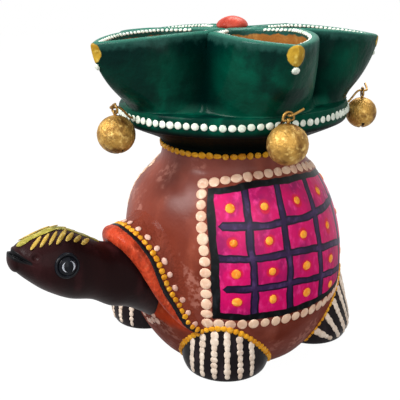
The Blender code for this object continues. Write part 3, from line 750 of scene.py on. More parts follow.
def buildPlate():
    s = plateSizes
    turns = evenDegrees(s["segments"])
    rings, dull = [], []
    for radius, height in plateProfile():
        ring = []
        for a in turns:
            wave = outward(a) * s["wobbleRound"] + Vector((s["wobbleShift"], 0.0, height * s["wobbleUp"]))
            rough = noise.noise(wave) * s["wobble"] if radius > s["wobbleFrom"] else 0.0
            ring.append(atHeight(outward(a) * (radius + rough), height))
            dull.append(s["underDull"] if height < s["top"] - s["edgeHeight"] else 0.0)
        rings.append(ring)
    plate = addPiece("lampPlate", *skinRings(rings), platePaint, {"underside": dull}, sharp=80.0)
    settle(plate, "lamp", "green_clay", "lamp_plate")
    edge, neck = [], []
    for a in evenDegrees(s["dotMarks"]):
        out = outward(a)
        along = Vector((-out.y, out.x, 0.0))
        bob = noise.noise(out * s["bobRound"]) * s["bob"]
        place = atHeight(out * (s["radius"] - s["dotSink"]), s["dotHeight"] + bob)
        edge.append((place, (out + upward * s["dotTilt"]).normalized(), along, 1.0))
        neck.append((atHeight(out * s["ringRadius"], s["ringHeight"] + bob * s["ringBob"]), out, along, 1.0))
    paintRow("plateDots", edge, whitePaint, "green_clay", closed=True, **plateRow)
    paintRow("neckDots", neck, amberPaint, "green_clay", closed=True, **neckRow)


buildPlate()
print("stage: plate")


# Cups

cupSizes = {"count": 5, "height": 0.0330, "tipRadius": 0.0782, "tipShift": 0.0028, "footRadius": 0.0585,
            "innerRadius": 0.0073, "rimHalfWidth": 0.0228, "rimRise": 0.0034, "tipDroop": 0.0016,
            "footHalfWidth": 0.0265, "shoulder": 0.0300, "heart": 0.0240, "footPower": 2.0, "tipPower": 3.6,
            "footSharp": 0.5, "wall": 0.0042, "floor": 0.0055, "rimRound": 0.0020, "floorFillet": 0.0045,
            "flareHeight": 0.0065, "flare": 0.0022, "valleyFoot": 0.0036, "valleyRim": 0.0016,
            "valleyFade": 6.0, "shadeReach": 0.0210, "seatDepth": 0.0002, "footLift": 0.0005,
            "footFade": 12.0, "wobble": 0.00035, "wobbleRound": 55.0, "wobbleUp": 45.0, "wobbleShift": 3.0,
            "wobbleFade": 4.0, "rimWobble": 0.0006, "rimWobbleRound": 40.0, "rimWobbleShift": 7.0,
            "rimWobbleSlice": 2.0,
            "outerRings": 45, "ringSpread": 1.15, "lipRings": 10, "innerRings": 22, "filletRings": 8,
            "flankPoints": 41, "seamPoints": 6, "searchSteps": 40, "floorDepth": 28.0}
# The blob of paint and the dots at each tip. The blob's radius, edge, soft and far are in millimetres.
tipSizes = {"drop": 0.0050, "radius": 4.5, "rise": 0.0003, "edge": 0.6, "soft": 0.8, "far": 99.0,
            "share": (1.0, 1.0, 0.6, 1.0, 1.0), "dotDrop": 0.0112, "dotLift": 0.0002,
            "dotFacing": (1.0, 0.0, -0.5), "rimRing": 8, "ringBelow": 6, "rimJump": 0.006}
rimRow = {"spacing": 0.0023, "radius": 0.00095, "rise": 0.0005, "irregular": 0.16}
tipRow = {"radius": 0.0018, "rise": 0.0009, "irregular": 0.14}
rimSeed, tipSeed = 31, 41
cupFoot = plateSizes["top"] - cupSizes["seatDepth"]
cupRim = cupFoot + cupSizes["footLift"] + cupSizes["height"]
wedge = math.pi / cupSizes["count"]


def cupDegrees(number):
    return number * 360.0 / cupSizes["count"]


def cupOutline(tipRadius, level, inset):
    # Outline of a cup at a level from 0, its foot, to 1, its rim: x, y, nearness to the valley, which sets
    # the painted valley shade, and rise.
    s = cupSizes
    t = easeStep(level)
    tip = mixValue(s["footRadius"], tipRadius, 1.0 - (1.0 - level) ** 2) - inset
    wide = mixValue(s["footHalfWidth"], s["rimHalfWidth"], level) - inset
    power = mixValue(s["footPower"], s["tipPower"], t)
    sharp = mixValue(s["footSharp"], 1.0, t)
    inner = s["innerRadius"] + inset / math.sin(wedge)
    valley = mixValue(s["valleyFoot"], s["valleyRim"], t) if inset < s["wall"] / 2 else 0.0
    floor = s["floor"] / s["height"]
    climb = s["rimRise"] * easeStep((level - floor) / (1.0 - floor))

    def nearTip(x):
        return min(1.0, max(0.0, (x - s["shoulder"]) / (tip - s["shoulder"])))

    def flank(x):
        return wide * (1.0 - nearTip(x) ** power) ** sharp

    def rise(x):
        return climb * (1.0 - nearTip(x) ** 2)

    def seam(x):
        return x * math.tan(wedge) - max(0.0, inset) / math.cos(wedge)

    meet, far = inner, tip
    for _ in range(s["searchSteps"]):
        middle = (meet + far) / 2
        if seam(middle) < flank(middle):
            meet = middle
        else:
            far = middle
    side = []
    points = s["flankPoints"]
    for i in range(1, points + 1):
        x = mixValue(tip, meet, 1.0 - math.cos(math.pi / 2 * i / points)) if i < points else meet
        y = flank(x)
        away = max(0.0, x * math.sin(wedge) - y * math.cos(wedge) - max(0.0, inset))
        lift = (math.hypot(away, valley) - away) / math.tan(wedge)
        valleyShade = 1.0 - easeStep(away / s["shadeReach"])
        side.append((x + lift * math.cos(wedge), y + lift * math.sin(wedge), valleyShade, rise(x)))
    start = side[-1]
    for i in range(1, s["seamPoints"] + 1):
        share = i / s["seamPoints"]
        x = mixValue(start[0], inner, share)
        side.append((x, mixValue(start[1], seam(inner), share), 1.0, rise(x)))
    left = [(x, -y, valleyShade, lift) for x, y, valleyShade, lift in reversed(side)]
    return [(tip, 0.0, 0.0, 0.0), *side, *left]


def cupSteps():
    # Level, inset and depth of each ring, from the foot to the floor. Depth is in millimetres below the
    # lip: it is under -1 outside, runs from -1 to 1 over the lip and grows on the inside.
    s = cupSizes
    shoulder = 1.0 - s["rimRound"] / s["height"]
    fillet = s["floorFillet"] / s["height"]
    floor = s["floor"] / s["height"]
    steps = []

    def below(level):
        return 1.0 + (shoulder - level) * s["height"] * perMetre

    for i in range(s["outerRings"]):
        level = shoulder * (i / (s["outerRings"] - 1)) ** s["ringSpread"]
        low = max(0.0, 1.0 - level * s["height"] / s["flareHeight"])
        steps.append((level, -s["flare"] * (1.0 - math.sqrt(max(0.0, 1.0 - low * low))), -below(level)))
    for i in range(1, s["lipRings"] + 1):
        t = i / (s["lipRings"] + 1)
        inset = s["wall"] * (1.0 - math.cos(math.pi * t)) / 2
        steps.append((mixValue(shoulder, 1.0, math.sin(math.pi * t)), inset, mixValue(-1.0, 1.0, t)))
    for i in range(s["innerRings"]):
        level = mixValue(shoulder, floor + fillet, i / (s["innerRings"] - 1))
        steps.append((level, s["wall"], below(level)))
    for i in range(1, s["filletRings"] + 1):
        a = math.pi / 2 * i / s["filletRings"]
        inset = s["wall"] + s["floorFillet"] * (1.0 - math.cos(a))
        steps.append((floor + fillet * (1.0 - math.sin(a)), inset, s["floorDepth"]))
    return steps


cupLook = {
    # The near-black green of the valleys between cups is painted shade over the darker paint there.
    "ragged": 220.0, "raggedDetail": 3.0, "valleyShadeShare": 0.95, "valleyShade": (0, 13, 12),
    "patches": {"size": 34.0, "detail": 3.0, "range": (0.46, 0.62), "share": 0.60, "colour": (0, 80, 60)},
    "pools": {"size": 58.0, "detail": 4.0, "range": (0.52, 0.68), "share": 0.7, "colour": (0, 24, 21)},
    "poolShift": (0.031, 0.017, 0.0),
    "band": {"range": (0.1650, 0.1800), "share": 0.85, "colour": (0, 25, 23)}, "bandRagged": 0.012,
    # Lighter teal over the rim and the top of the inside: partly worn paint, partly painted reflection of
    # the sky on the rim top.
    "rimWearAndSheen": {"range": (-0.6, 3.0), "share": 0.42, "colour": (52, 104, 92)}, "rimWearAndSheenRagged": 7.0,
    "lip": {"range": (0.05, 0.6), "share": 0.6, "colour": (58, 118, 100)},
    "clay": (((150, 98, 46), (108, 66, 30), (186, 140, 78)), 180.0, 0.5),
    "clayDepth": (3.3, 4.1), "clayRagged": 3.0, "blobEdge": (0.5, 1.1), "blobRagged": 1.6,
    "mustard": (((188, 150, 50), (146, 108, 28), (216, 188, 94)), 420.0, 1.0)}


def cupColour(tree, under):
    s = cupLook
    ragged = grain(tree, s["ragged"], s["raggedDetail"]).outputs[0]
    depth = readValue(tree, "innerDepth")

    def uneven(value, amount):
        return plus(tree, value, times(tree, ragged, amount))

    colour = mottle(tree, under, s["patches"])
    shifted = addNode(tree, "ShaderNodeVectorMath", {0: objectPoint(tree), 1: s["poolShift"]},
                      operation="ADD")
    colour = mottle(tree, colour, s["pools"], shifted.outputs[0])
    # Painted shade in the valleys between the cups, over their darker paint.
    valleyShade = times(tree, readValue(tree, "valleyDepth"), s["valleyShadeShare"])
    colour = layOver(tree, valleyShade, colour, tint(*s["valleyShade"]))
    colour = smear(tree, colour, uneven(objectHeight(tree), s["bandRagged"]), s["band"])
    # Worn paint with a painted sky reflection on the rim, then a painted highlight along the top of the lip.
    colour = smear(tree, colour, uneven(depth, s["rimWearAndSheenRagged"]), s["rimWearAndSheen"])
    colour = smear(tree, colour, invert(tree, calc(tree, "ABSOLUTE", depth)), s["lip"])
    clay = rampUp(tree, uneven(depth, s["clayRagged"]), *s["clayDepth"])
    colour = layOver(tree, clay, colour, brushed(tree, *s["clay"]))
    away = minus(tree, uneven(readValue(tree, "tipDistance"), s["blobRagged"]), tipSizes["radius"])
    blob = rampDown(tree, away, *s["blobEdge"])
    return layOver(tree, blob, colour, brushed(tree, *s["mustard"]))


cupPaint = glazedPaint("cupPaint", greenTones, size=80.0, roughness=0.40, coat=0.07, coatRoughness=0.12,
                       specular=0.02, relief=0.0008, reliefSize=210.0, recolour=cupColour,
                       dulled="valleyDepth")


def buildCup(number):
    s, tip = cupSizes, tipSizes
    facing = math.cos(math.radians(cupDegrees(number)))
    tipRadius = s["tipRadius"] + s["tipShift"] * facing
    droop = s["tipDroop"] * (1.0 - facing) / 2
    turn = spoke(cupDegrees(number))
    blobLevel = 1.0 - tip["drop"] / s["height"]
    blob = Vector((cupOutline(tipRadius, blobLevel, 0.0)[0][0], 0.0, cupRim - tip["drop"]))
    rings, inner, valley, tips = [], [], [], []
    for level, inset, depth in cupSteps():
        ring = []
        for x, y, valleyShade, climb in cupOutline(tipRadius, level, inset):
            z = cupFoot + s["footLift"] * min(1.0, level * s["footFade"]) + s["height"] * level + climb
            z -= droop * level * level * easeStep((x - s["shoulder"]) / (tipRadius - s["shoulder"]))
            place = Vector((x, y, z))
            far = (place - blob).length * perMetre / tip["share"][number]
            wave = Vector((x * s["wobbleRound"] + number * s["wobbleShift"], y * s["wobbleRound"],
                           z * s["wobbleUp"]))
            rough = noise.noise(wave) * s["wobble"]
            swell = tip["rise"] * easeStep((tip["radius"] + tip["edge"] - far) / tip["soft"])
            rise = swell if depth < 0.0 else 0.0
            rise += rough * (1.0 - valleyShade) * min(1.0, level * s["wobbleFade"])
            place += Vector((x - s["heart"], y, 0.0)).normalized() * rise
            if level > 0.5:
                wave = Vector((x * s["rimWobbleRound"] + number * s["rimWobbleShift"],
                               y * s["rimWobbleRound"], s["rimWobbleSlice"]))
                place.z += s["rimWobble"] * noise.noise(wave) * (level - 0.5)
            ring.append(turn @ place)
            inner.append(depth)
            # How much painted shade the valley between the cups gets here.
            valley.append(valleyShade * easeStep(level * s["valleyFade"]) if depth < 0.0 else 0.0)
            tips.append(far if depth < 0.5 else tip["far"])
        rings.append(ring)
    values = {"innerDepth": inner, "valleyDepth": valley, "tipDistance": tips}
    cup = addPiece("cup" + numbered(number), *skinRings(rings), cupPaint, values)
    settle(cup, "lamp", "green_clay", "cup_" + numbered(number))
    return rings, turn, tipRadius


def paintCup(number, rings, turn, tipRadius):
    s = tipSizes
    onLip = rings[cupSizes["outerRings"]:]
    lip, nearby = onLip[s["rimRing"]], onLip[s["ringBelow"]]
    count = len(lip)
    corner = cupSizes["flankPoints"] + cupSizes["seamPoints"] - 1
    path = []
    for i in range(count):
        if corner <= i <= count - corner:
            continue
        ahead = (lip[(i + 1) % count] - lip[i - 1]).normalized()
        facing = ahead.cross(lip[i] - nearby[i]).normalized()
        path.append((lip[i], towards(facing, upward), ahead, 1.0))
    cutAt = next(i for i in range(1, len(path)) if (path[i][0] - path[i - 1][0]).length > s["rimJump"])
    path = path[cutAt:] + path[:cutAt]
    paintRow("rimDots" + numbered(number), path, whitePaint, "green_clay", seed=rimSeed + number, **rimRow)
    reach = cupOutline(tipRadius, 1.0 - s["dotDrop"] / cupSizes["height"], 0.0)[0][0]
    place = turn @ Vector((reach + s["dotLift"], 0.0, cupRim - s["dotDrop"]))
    facing = turn.to_3x3() @ Vector(s["dotFacing"]).normalized()
    paintRow("tipDot" + numbered(number), [(place, facing, upward, s["share"][number])], whitePaint,
             "green_clay", scattered=True, seed=tipSeed + number, **tipRow)


for cupNumber in range(cupSizes["count"]):
    paintCup(cupNumber, *buildCup(cupNumber))
print("stage: cups")


# Bud

budSizes = {"stem": 0.0069, "radius": 0.0082, "rise": 0.0052, "point": 1.15, "gap": 0.0003,
            "poleRadius": 0.001, "tipRadius": 0.0003, "stemDrop": 0.0008, "folds": 5, "foldDepth": 0.035,
            "foldStart": 0.001, "foldSpan": 0.002, "steps": 24, "segments": 64}
coralPaint = glazedPaint("coralPaint", ((184, 72, 56), (150, 50, 38), (206, 108, 90)), size=260.0,
                         roughness=0.45)


def buildBud():
    s = budSizes
    seat = plateSizes["top"] + s["gap"]
    shelf = seat + cupSizes["height"] + cupSizes["rimRise"] + s["gap"]
    rows = [(s["poleRadius"], seat), (s["stem"], seat), (s["stem"], shelf - s["stemDrop"])]
    for i in range(s["steps"]):
        a = math.pi / 2 * (i / s["steps"])
        rows.append((s["radius"] * math.cos(a) ** s["point"], shelf + s["rise"] * math.sin(a)))
    rows.append((s["tipRadius"], shelf + s["rise"]))
    rings = []
    for radius, height in rows:
        share = s["foldDepth"] * easeStep((height - shelf + s["foldStart"]) / s["foldSpan"])
        ring = []
        for a in evenTurns(s["segments"]):
            wide = radius * (1.0 + share * math.cos(s["folds"] * a))
            ring.append(Vector((wide * math.cos(a), wide * math.sin(a), height)))
        rings.append(ring)
    settle(addPiece("centreBud", *skinRings(rings), coralPaint), "lamp", "orange_clay", "centre_bud")


buildBud()


# Head

headSizes = {"neckHeight": 0.0540, "nose": 0.0026, "noseRings": 12, "noseEnd": 12.4, "rootDrop": 0.0115,
             "rootEnd": -0.0030, "rootStart": 0.0160, "rootPower": 1.5, "steps": 96, "segments": 112}
mouthSizes = {"start": 0.0590, "height": 0.0760, "slope": 0.60, "depth": 0.0012, "width": 0.00055,
              "blend": 0.004, "lipOffset": 0.0016, "lipWidth": 0.0011, "lipRise": 0.0007, "lipStart": 0.0625,
              "lipBlend": 0.003, "paintThin": 0.0010, "paintThick": 0.0026, "thickStart": 0.0610,
              "thickSpan": 0.006, "paintStart": 0.0595, "paintBlend": 0.0025, "paintEdge": (0.25, 0.65),
              "colour": (13, 13, 15)}
nostrilSizes = {"forward": 0.0590, "height": 0.0797, "side": 0.0104, "depth": 0.0010, "radius": 0.0012,
                "rim": 0.0023, "rimWidth": 0.0008, "rimRise": 0.0003}
# Distance forward of the pot, height of the middle, half width and half height.
headSections = (
    (-0.0140, 0.0540, 0.0165, 0.0170), (0.0080, 0.0545, 0.0165, 0.0172), (0.0200, 0.0568, 0.0160, 0.0172),
    (0.0310, 0.0638, 0.0158, 0.0170), (0.0430, 0.0692, 0.0165, 0.0180), (0.0540, 0.0724, 0.0145, 0.0138),
    (0.0615, 0.0749, 0.0105, 0.0090), (0.0660, 0.0762, 0.0060, 0.0050))
headRows = curveThrough(headSections, headSizes["steps"])
potFront = potRadius(headSizes["neckHeight"])


def headRow(forward):
    forward = min(max(forward, headRows[0][0]), headRows[-1][0] - 1e-6)
    for low, high in zip(headRows, headRows[1:]):
        if low[0] <= forward <= high[0]:
            t = (forward - low[0]) / (high[0] - low[0])
            return [mixValue(a, b, t) for a, b in zip(low, high)]


def headPoint(forward, degrees):
    # A place on the head: 0 degrees is its left side and 90 its crown.
    s = headSizes
    _, height, wide, tall = headRow(forward)
    a = math.radians(degrees)
    if math.sin(a) < 0.0:
        root = min(1.0, max(0.0, (s["rootStart"] - forward) / (s["rootStart"] - s["rootEnd"])))
        tall += s["rootDrop"] * root ** s["rootPower"]
    return Vector((wide * math.cos(a), -potFront - forward, height + tall * math.sin(a)))


def headSurface(forward, degrees):
    return headPoint(forward, degrees), facingOf(headPoint, forward, degrees, smallStep, smallTurn)


def aboveMouth(place):
    # How far forward a place on the head lies, and how high over the line of the mouth.
    forward = -place.y - potFront
    return forward, place.z - mouthSizes["height"] - mouthSizes["slope"] * (forward - mouthSizes["start"])


def headCarve(place):
    # How far the finished face lies above or below the plain head.
    m, n = mouthSizes, nostrilSizes
    forward, above = aboveMouth(place)
    carve = -m["depth"] * hump(above / m["width"]) * easeStep((forward - m["start"]) / m["blend"])
    lips = hump((abs(above) - m["lipOffset"]) / m["lipWidth"])
    carve += m["lipRise"] * lips * easeStep((forward - m["lipStart"]) / m["lipBlend"])
    for side in (n["side"], -n["side"]):
        far = (place - Vector((side, -potFront - n["forward"], n["height"]))).length
        carve -= n["depth"] * hump(far / n["radius"])
        carve += n["rimRise"] * hump((far - n["rim"]) / n["rimWidth"])
    return carve


def lipShare(place):
    # How much of the black of the lips covers this place.
    m = mouthSizes
    forward, above = aboveMouth(place)
    thick = mixValue(m["paintThin"], m["paintThick"], easeStep((forward - m["thickStart"]) / m["thickSpan"]))
    return hump(above / thick) * easeStep((forward - m["paintStart"]) / m["paintBlend"])


def faceColour(tree, under):
    lips = rampUp(tree, readValue(tree, "lipPaint"), *mouthSizes["paintEdge"])
    return layOver(tree, lips, under, tint(*mouthSizes["colour"]))


maroonTones = ((38, 14, 15), (26, 9, 10), (52, 24, 26))
maroonFinish = {"size": 120.0, "roughness": 0.45, "coat": 0.04, "coatRoughness": 0.22, "relief": 0.00035,
                "reliefSize": 110.0}
maroonPaint = glazedPaint("maroonPaint", maroonTones, **maroonFinish)
facePaint = glazedPaint("facePaint", maroonTones, recolour=faceColour, **maroonFinish)


def buildHead():
    s = headSizes
    angles = evenDegrees(s["segments"])
    rings = [[headPoint(row[0], a) for a in angles] for row in headRows]
    forward, height = headRows[-1][:2]
    edge = rings[-1]
    for i in range(1, s["noseRings"] + 1):
        a = math.pi / 2 * i / s["noseEnd"]
        share = math.cos(a)
        y = -potFront - forward - s["nose"] * math.sin(a)
        rings.append([Vector((p.x * share, y, mixValue(height, p.z, share))) for p in edge])
    carved = []
    for ring in rings:
        middle = sum(p.z for p in ring) / len(ring)
        carved.append([p + Vector((p.x, 0.0, p.z - middle)).normalized() * headCarve(p) for p in ring])
    lips = [lipShare(p) for ring in carved for p in ring]
    head = addPiece("tortoiseHead", *skinRings(carved), facePaint, {"lipPaint": lips})
    settle(head, "lamp", "maroon_clay", "head")


buildHead()

crestSizes = {"count": 7, "start": 0.0330, "step": 0.0039, "down": 27.0, "lessDown": 1.2, "level": 3,
              "halfForward": 0.0034, "halfDown": 13.0, "crown": 90.0, "ridgeStart": 0.0250,
              "ridgeStep": 0.0051, "ridgeMarks": 8, "ridgeSteps": 60}
crestRow = {"radius": 0.00105, "rise": 0.0005, "stretch": 4.9, "irregular": 0.15, "seed": 51}
ridgeRow = {"spacing": 0.0018, "radius": 0.0024, "rise": 0.0004, "stretch": 1.3, "irregular": 0.2,
            "seed": 53}
crestFinish = {"size": 420.0, "streak": 1.0, "roughness": 0.4, "relief": 0.0001, "reliefSize": 500.0}
crestPaint = glazedPaint("crestPaint", ((180, 148, 66), (134, 112, 48), (208, 188, 116)), **crestFinish)
olivePaint = glazedPaint("olivePaint", ((150, 140, 58), (100, 96, 40), (190, 178, 96)), **crestFinish)


def paintCrest():
    s = crestSizes
    crown = s["crown"]
    strokes = []
    for sign in (1, -1):
        for i in range(s["count"]):
            forward = s["start"] + s["step"] * i
            down = s["down"] - s["lessDown"] * max(0, i - s["level"])
            top = headPoint(forward - s["halfForward"], crown - sign * (down - s["halfDown"]))
            low = headPoint(forward + s["halfForward"], crown - sign * (down + s["halfDown"]))
            place, facing = headSurface(forward, crown - sign * down)
            strokes.append((place, towards(facing, upward), (low - top).normalized(), 1.0))
    paintRow("crestStrokes", strokes, crestPaint, "maroon_clay", scattered=True, **crestRow)
    marks = [(s["ridgeStart"] + s["ridgeStep"] * i, crown) for i in range(s["ridgeMarks"])]
    ridge = [(place, towards(facing, upward), ahead, scale)
             for place, facing, ahead, scale in pathOn(headSurface, marks, s["ridgeSteps"])]
    paintRow("crestRidge", ridge, olivePaint, "maroon_clay", **ridgeRow)


paintCrest()


# Eyes

eyeSizes = {"forward": 0.0464, "height": 0.0741, "radius": 0.0063, "rollAt": 0.84, "rollWidth": 0.13,
            "rollRise": 0.0010, "dome": 0.0017, "domeEdge": 0.70, "base": 0.0006, "edgeDrop": 0.0016,
            "edgeStart": 0.9, "bend": 0.0012, "rootDepth": 0.004, "pole": 0.02, "rings": 30, "segments": 64,
            "whiteAt": 0.42, "whiteLift": 0.0002, "whiteSpan": 1.05, "whiteEnd": 0.25, "whiteSteps": 14}
whiteRow = {"spacing": 0.0004, "radius": 0.00036, "rise": 0.0002, "irregular": 0.1}
eyePaint = glazedPaint("eyePaint", ((16, 17, 22), (8, 9, 12), (34, 38, 46)), size=300.0, roughness=0.3,
                       coat=0.10, coatRoughness=0.1, relief=0.0002, reliefSize=300.0)
eyeWhitePaint = glazedPaint("eyeWhitePaint", ((176, 180, 188), (130, 136, 146), (212, 214, 220)), size=500.0,
                            roughness=0.35, coat=0.08, relief=0.0001, reliefSize=500.0)


def eyeProfile(share):
    # Height of the eye's face over its seat, from the middle at 0 to the edge at 1.
    s = eyeSizes
    roll = hump((share - s["rollAt"]) / s["rollWidth"]) * s["rollRise"]
    dome = s["dome"] * math.sqrt(max(0.0, 1.0 - (share / s["domeEdge"]) ** 2))
    edge = max(0.0, (share - s["edgeStart"]) / (1.0 - s["edgeStart"]))
    return s["base"] + roll + dome - s["edgeDrop"] * edge ** 2


def buildEye(label, sign):
    s = eyeSizes
    _, height, _, tall = headRow(s["forward"])
    degrees = math.degrees(math.asin((s["height"] - height) / tall))
    seat, facing = headSurface(s["forward"], degrees)
    facing = towards(facing, Vector((1.0, 0.0, 0.0)))
    across = Vector((0.0, -1.0, 0.0))
    across = (across - facing * across.dot(facing)).normalized()
    up = towards(facing.cross(across), upward)

    def onEye(share, turn, rise=0.0):
        place = seat + (across * math.cos(turn) + up * math.sin(turn)) * (share * s["radius"])
        place += facing * (eyeProfile(share) + rise - s["bend"] * share * share)
        return Vector((sign * place.x, place.y, place.z))

    turns = evenTurns(s["segments"])
    rings = [[onEye(max(s["pole"], k / s["rings"]), turn) for turn in turns] for k in range(s["rings"] + 1)]
    rings.append([onEye(1.0, turn, -s["rootDepth"]) for turn in turns])
    eye = addPiece("eye" + label, *skinRings(rings), eyePaint)
    settle(eye, "lamp", "black_clay", "eye_" + label.lower())
    front = Vector((sign * facing.x, facing.y, facing.z))
    for start, seed in ((0.0, 61), (math.pi, 63)):
        marks = []
        for i in range(s["whiteSteps"] + 1):
            t = i / s["whiteSteps"]
            place = onEye(s["whiteAt"], start + mixValue(-s["whiteSpan"], s["whiteSpan"], t), s["whiteLift"])
            marks.append((place, front, upward, s["whiteEnd"] + math.sin(math.pi * t)))
        paintRow("eyeWhite%s%d" % (label, seed), marks, eyeWhitePaint, "black_clay", seed=seed, **whiteRow)


buildEye("Left", 1)
buildEye("Right", -1)
print("stage: head")


# Collar

collarSizes = {"radius": 0.0044, "skirt": 0.0300, "cove": 0.0100, "coveBow": 0.8, "coveSink": 0.00015,
               "backDepth": 0.006, "steps": 110, "roundPoints": 22, "covePoints": 10, "seekStep": 0.0002,
               "trackSteps": 30, "trackStep": 0.0005, "line": 0.0069, "amber": 0.0095, "pink": 0.0127,
               "lowShare": 0.62, "lowHeight": 0.046, "lowSpan": 0.014, "widen": 0.36,
               "widenRange": (0.050, 0.070), "markSkip": 10, "markStep": 2}
collarLook = {"orangeEdge": 5.8, "edgeShift": 0.7, "edgeSoft": (-0.3, 0.3), "fade": (0.0255, 0.0330),
              "ragged": 300.0, "raggedDetail": 3.0, "sideRagged": 1.4, "heightRagged": 0.006}
# Half width, distance in front of the pot and height of the middle of the roll.
collarPath = ((0.0000, 0.0158, 0.0762), (0.0105, 0.0142, 0.0732), (0.0175, 0.0108, 0.0655),
              (0.0212, 0.0076, 0.0560), (0.0245, 0.0046, 0.0460), (0.0280, 0.0018, 0.0375),
              (0.0310, -0.0010, 0.0305), (0.0330, -0.0080, 0.0255))
lineRow = {"spacing": 0.0009, "radius": 0.0012, "rise": 0.0003, "irregular": 0.12, "seed": 13}
amberRow = {"spacing": 0.0033, "radius": 0.0016, "rise": 0.0007, "irregular": 0.17, "seed": 15}
pinkRow = {"spacing": 0.0072, "radius": 0.0017, "rise": 0.0007, "irregular": 0.18, "seed": 17}
# Angle round from the head and height of each dot on the chest.
chestMarks = ((8.6, 0.0252), (6.2, 0.0284), (4.4, 0.0240), (0.8, 0.0214), (-2.8, 0.0204), (-5.4, 0.0238),
              (-6.8, 0.0282), (-9.0, 0.0250))
chestRow = {"radius": 0.0020, "rise": 0.0006, "irregular": 0.2, "seed": 19}


def collarColour(tree, under):
    s = collarLook
    ragged = grain(tree, s["ragged"], s["raggedDetail"]).outputs[0]
    side = plus(tree, readValue(tree, "collarSide"), times(tree, ragged, s["sideRagged"]))
    height = plus(tree, objectHeight(tree), times(tree, ragged, s["heightRagged"]))
    wide = rampUp(tree, height, *collarSizes["widenRange"])
    edge = calc(tree, "MULTIPLY_ADD", wide, s["orangeEdge"] * collarSizes["widen"],
                s["orangeEdge"] + s["edgeShift"])
    outside = rampUp(tree, minus(tree, side, edge), *s["edgeSoft"])
    brown = calc(tree, "MAXIMUM", outside, rampDown(tree, height, *s["fade"]))
    return layOver(tree, brown, under, brushed(tree, brownTones, **brownBrush))


orangePaint = glazedPaint("orangePaint", ((186, 64, 36), (132, 42, 22), (206, 92, 60)), size=620.0,
                          streak=0.4, roughness=0.46, coat=0.05, relief=0.0008, reliefSize=520.0,
                          recolour=collarColour)


def collarFrame(half, standOff, height):
    # Middle of the collar's roll and the direction that leads away from the neck.
    middle = Vector((half, -math.sqrt(potRadius(height) ** 2 - half ** 2) - standOff, height))
    if height < headSizes["neckHeight"]:
        return middle, Vector((math.copysign(1.0, half), 0.0, 0.0))
    return middle, Vector((half, 0.0, height - headSizes["neckHeight"])).normalized()


def onBelly(place):
    return potSurface(math.degrees(math.atan2(place.x, -place.y)), place.z)


def belowBelly(place):
    return math.hypot(place.x, place.y) < potRadius(place.z)


def collarSection(row):
    # The roll, the cove that leads from it to the belly, and the hidden back of the collar.
    s = collarSizes
    middle, out = collarFrame(*row)
    front = Vector((0.0, -1.0, 0.0))
    roll = []
    for i in range(s["roundPoints"]):
        a = math.pi * i / (s["roundPoints"] - 1)
        facing = out * math.cos(a) + front * math.sin(a)
        roll.append((middle + facing * s["radius"], facing))
    start = roll[0][0]
    foot, gap = start.copy(), 0.0
    while not belowBelly(foot) and gap < s["skirt"]:
        gap += s["seekStep"]
        foot = start - front * gap
    seat, normal = onBelly(foot)
    slide = (out - normal * out.dot(normal)).normalized()
    end, endFacing = onBelly(seat + slide * (s["cove"] * min(1.0, gap / s["cove"])))
    end = end - endFacing * s["coveSink"]
    leave, arrive = start.lerp(foot, s["coveBow"]), end.lerp(foot, s["coveBow"])
    cove = []
    for i in range(1, s["covePoints"] + 1):
        t = i / s["covePoints"]
        pull = leave * (3 * t * (1 - t) ** 2) + arrive * (3 * t * t * (1 - t))
        cove.append((start * (1 - t) ** 3 + pull + end * t ** 3, out.lerp(endFacing, t).normalized()))
    hidden = [middle - front * s["skirt"] - out * s["radius"], end - endFacing * s["backDepth"]]
    return roll, cove, hidden


def collarMark(row, reach):
    # The place this far from the front of the roll, over its outer side and on over the belly.
    s = collarSizes
    roll, cove, _ = collarSection(row)
    track = [*reversed(roll[:len(roll) // 2]), *cove]
    track = [onBelly(place) if belowBelly(place) else (place, facing) for place, facing in track]
    out = collarFrame(*row)[1]
    for _ in range(s["trackSteps"]):
        place, facing = track[-1]
        track.append(onBelly(place + (out - facing * out.dot(facing)).normalized() * s["trackStep"]))
    gone = 0.0
    for (place, facing), (nextPlace, nextFacing) in zip(track, track[1:]):
        step = (nextPlace - place).length
        if gone + step >= reach:
            t = (reach - gone) / step
            return place.lerp(nextPlace, t), facing.lerp(nextFacing, t).normalized()
        gone += step
    return track[-1]


def collarRows():
    side = curveThrough(collarPath, collarSizes["steps"])
    right = [(-half, standOff, height) for half, standOff, height in reversed(side[1:])]
    return [*right, *side]


def collarPaint(name, key, material, sizes):
    s = collarSizes
    widenStart, widenEnd = s["widenRange"]
    marks = []
    for row in collarRows()[s["markSkip"]:-s["markSkip"]:s["markStep"]]:
        low = easeStep((s["lowHeight"] - row[2]) / s["lowSpan"])
        wide = s["widen"] * easeStep((row[2] - widenStart) / (widenEnd - widenStart))
        reach = s[key] * mixValue(1.0, s["lowShare"], low) + collarLook["orangeEdge"] / perMetre * wide
        marks.append(collarMark(row, reach))
    paintRow(name, pathAlong(marks), material, "orange_clay", **sizes)


def buildCollar():
    s = collarSizes
    quarter = s["radius"] * math.pi / 2 * perMetre
    skirt = quarter + s["skirt"] * perMetre
    rings, side = [], []
    for row in collarRows():
        roll, cove, hidden = collarSection(row)
        rings.append([p for p, _ in roll] + hidden + [p for p, _ in reversed(cove)])
        side += [quarter * (1.0 - 2 * i / (s["roundPoints"] - 1)) for i in range(s["roundPoints"])]
        side += [-skirt, skirt]
        side += [quarter + i for i in range(s["covePoints"], 0, -1)]
    collar = addPiece("neckCollar", *skinRings(rings), orangePaint, {"collarSide": side})
    settle(collar, "lamp", "orange_clay", "collar")
    collarPaint("collarLine", "line", linePaint, lineRow)
    collarPaint("collarAmber", "amber", amberPaint, amberRow)
    chest = [(*potSurface(*mark), upward, 1.0) for mark in chestMarks]
    paintRow("chestDots", chest, blushPaint, "brown_clay", scattered=True, **chestRow)
    collarPaint("collarPink", "pink", blushPaint, pinkRow)


buildCollar()
print("stage: collar")


# Feet

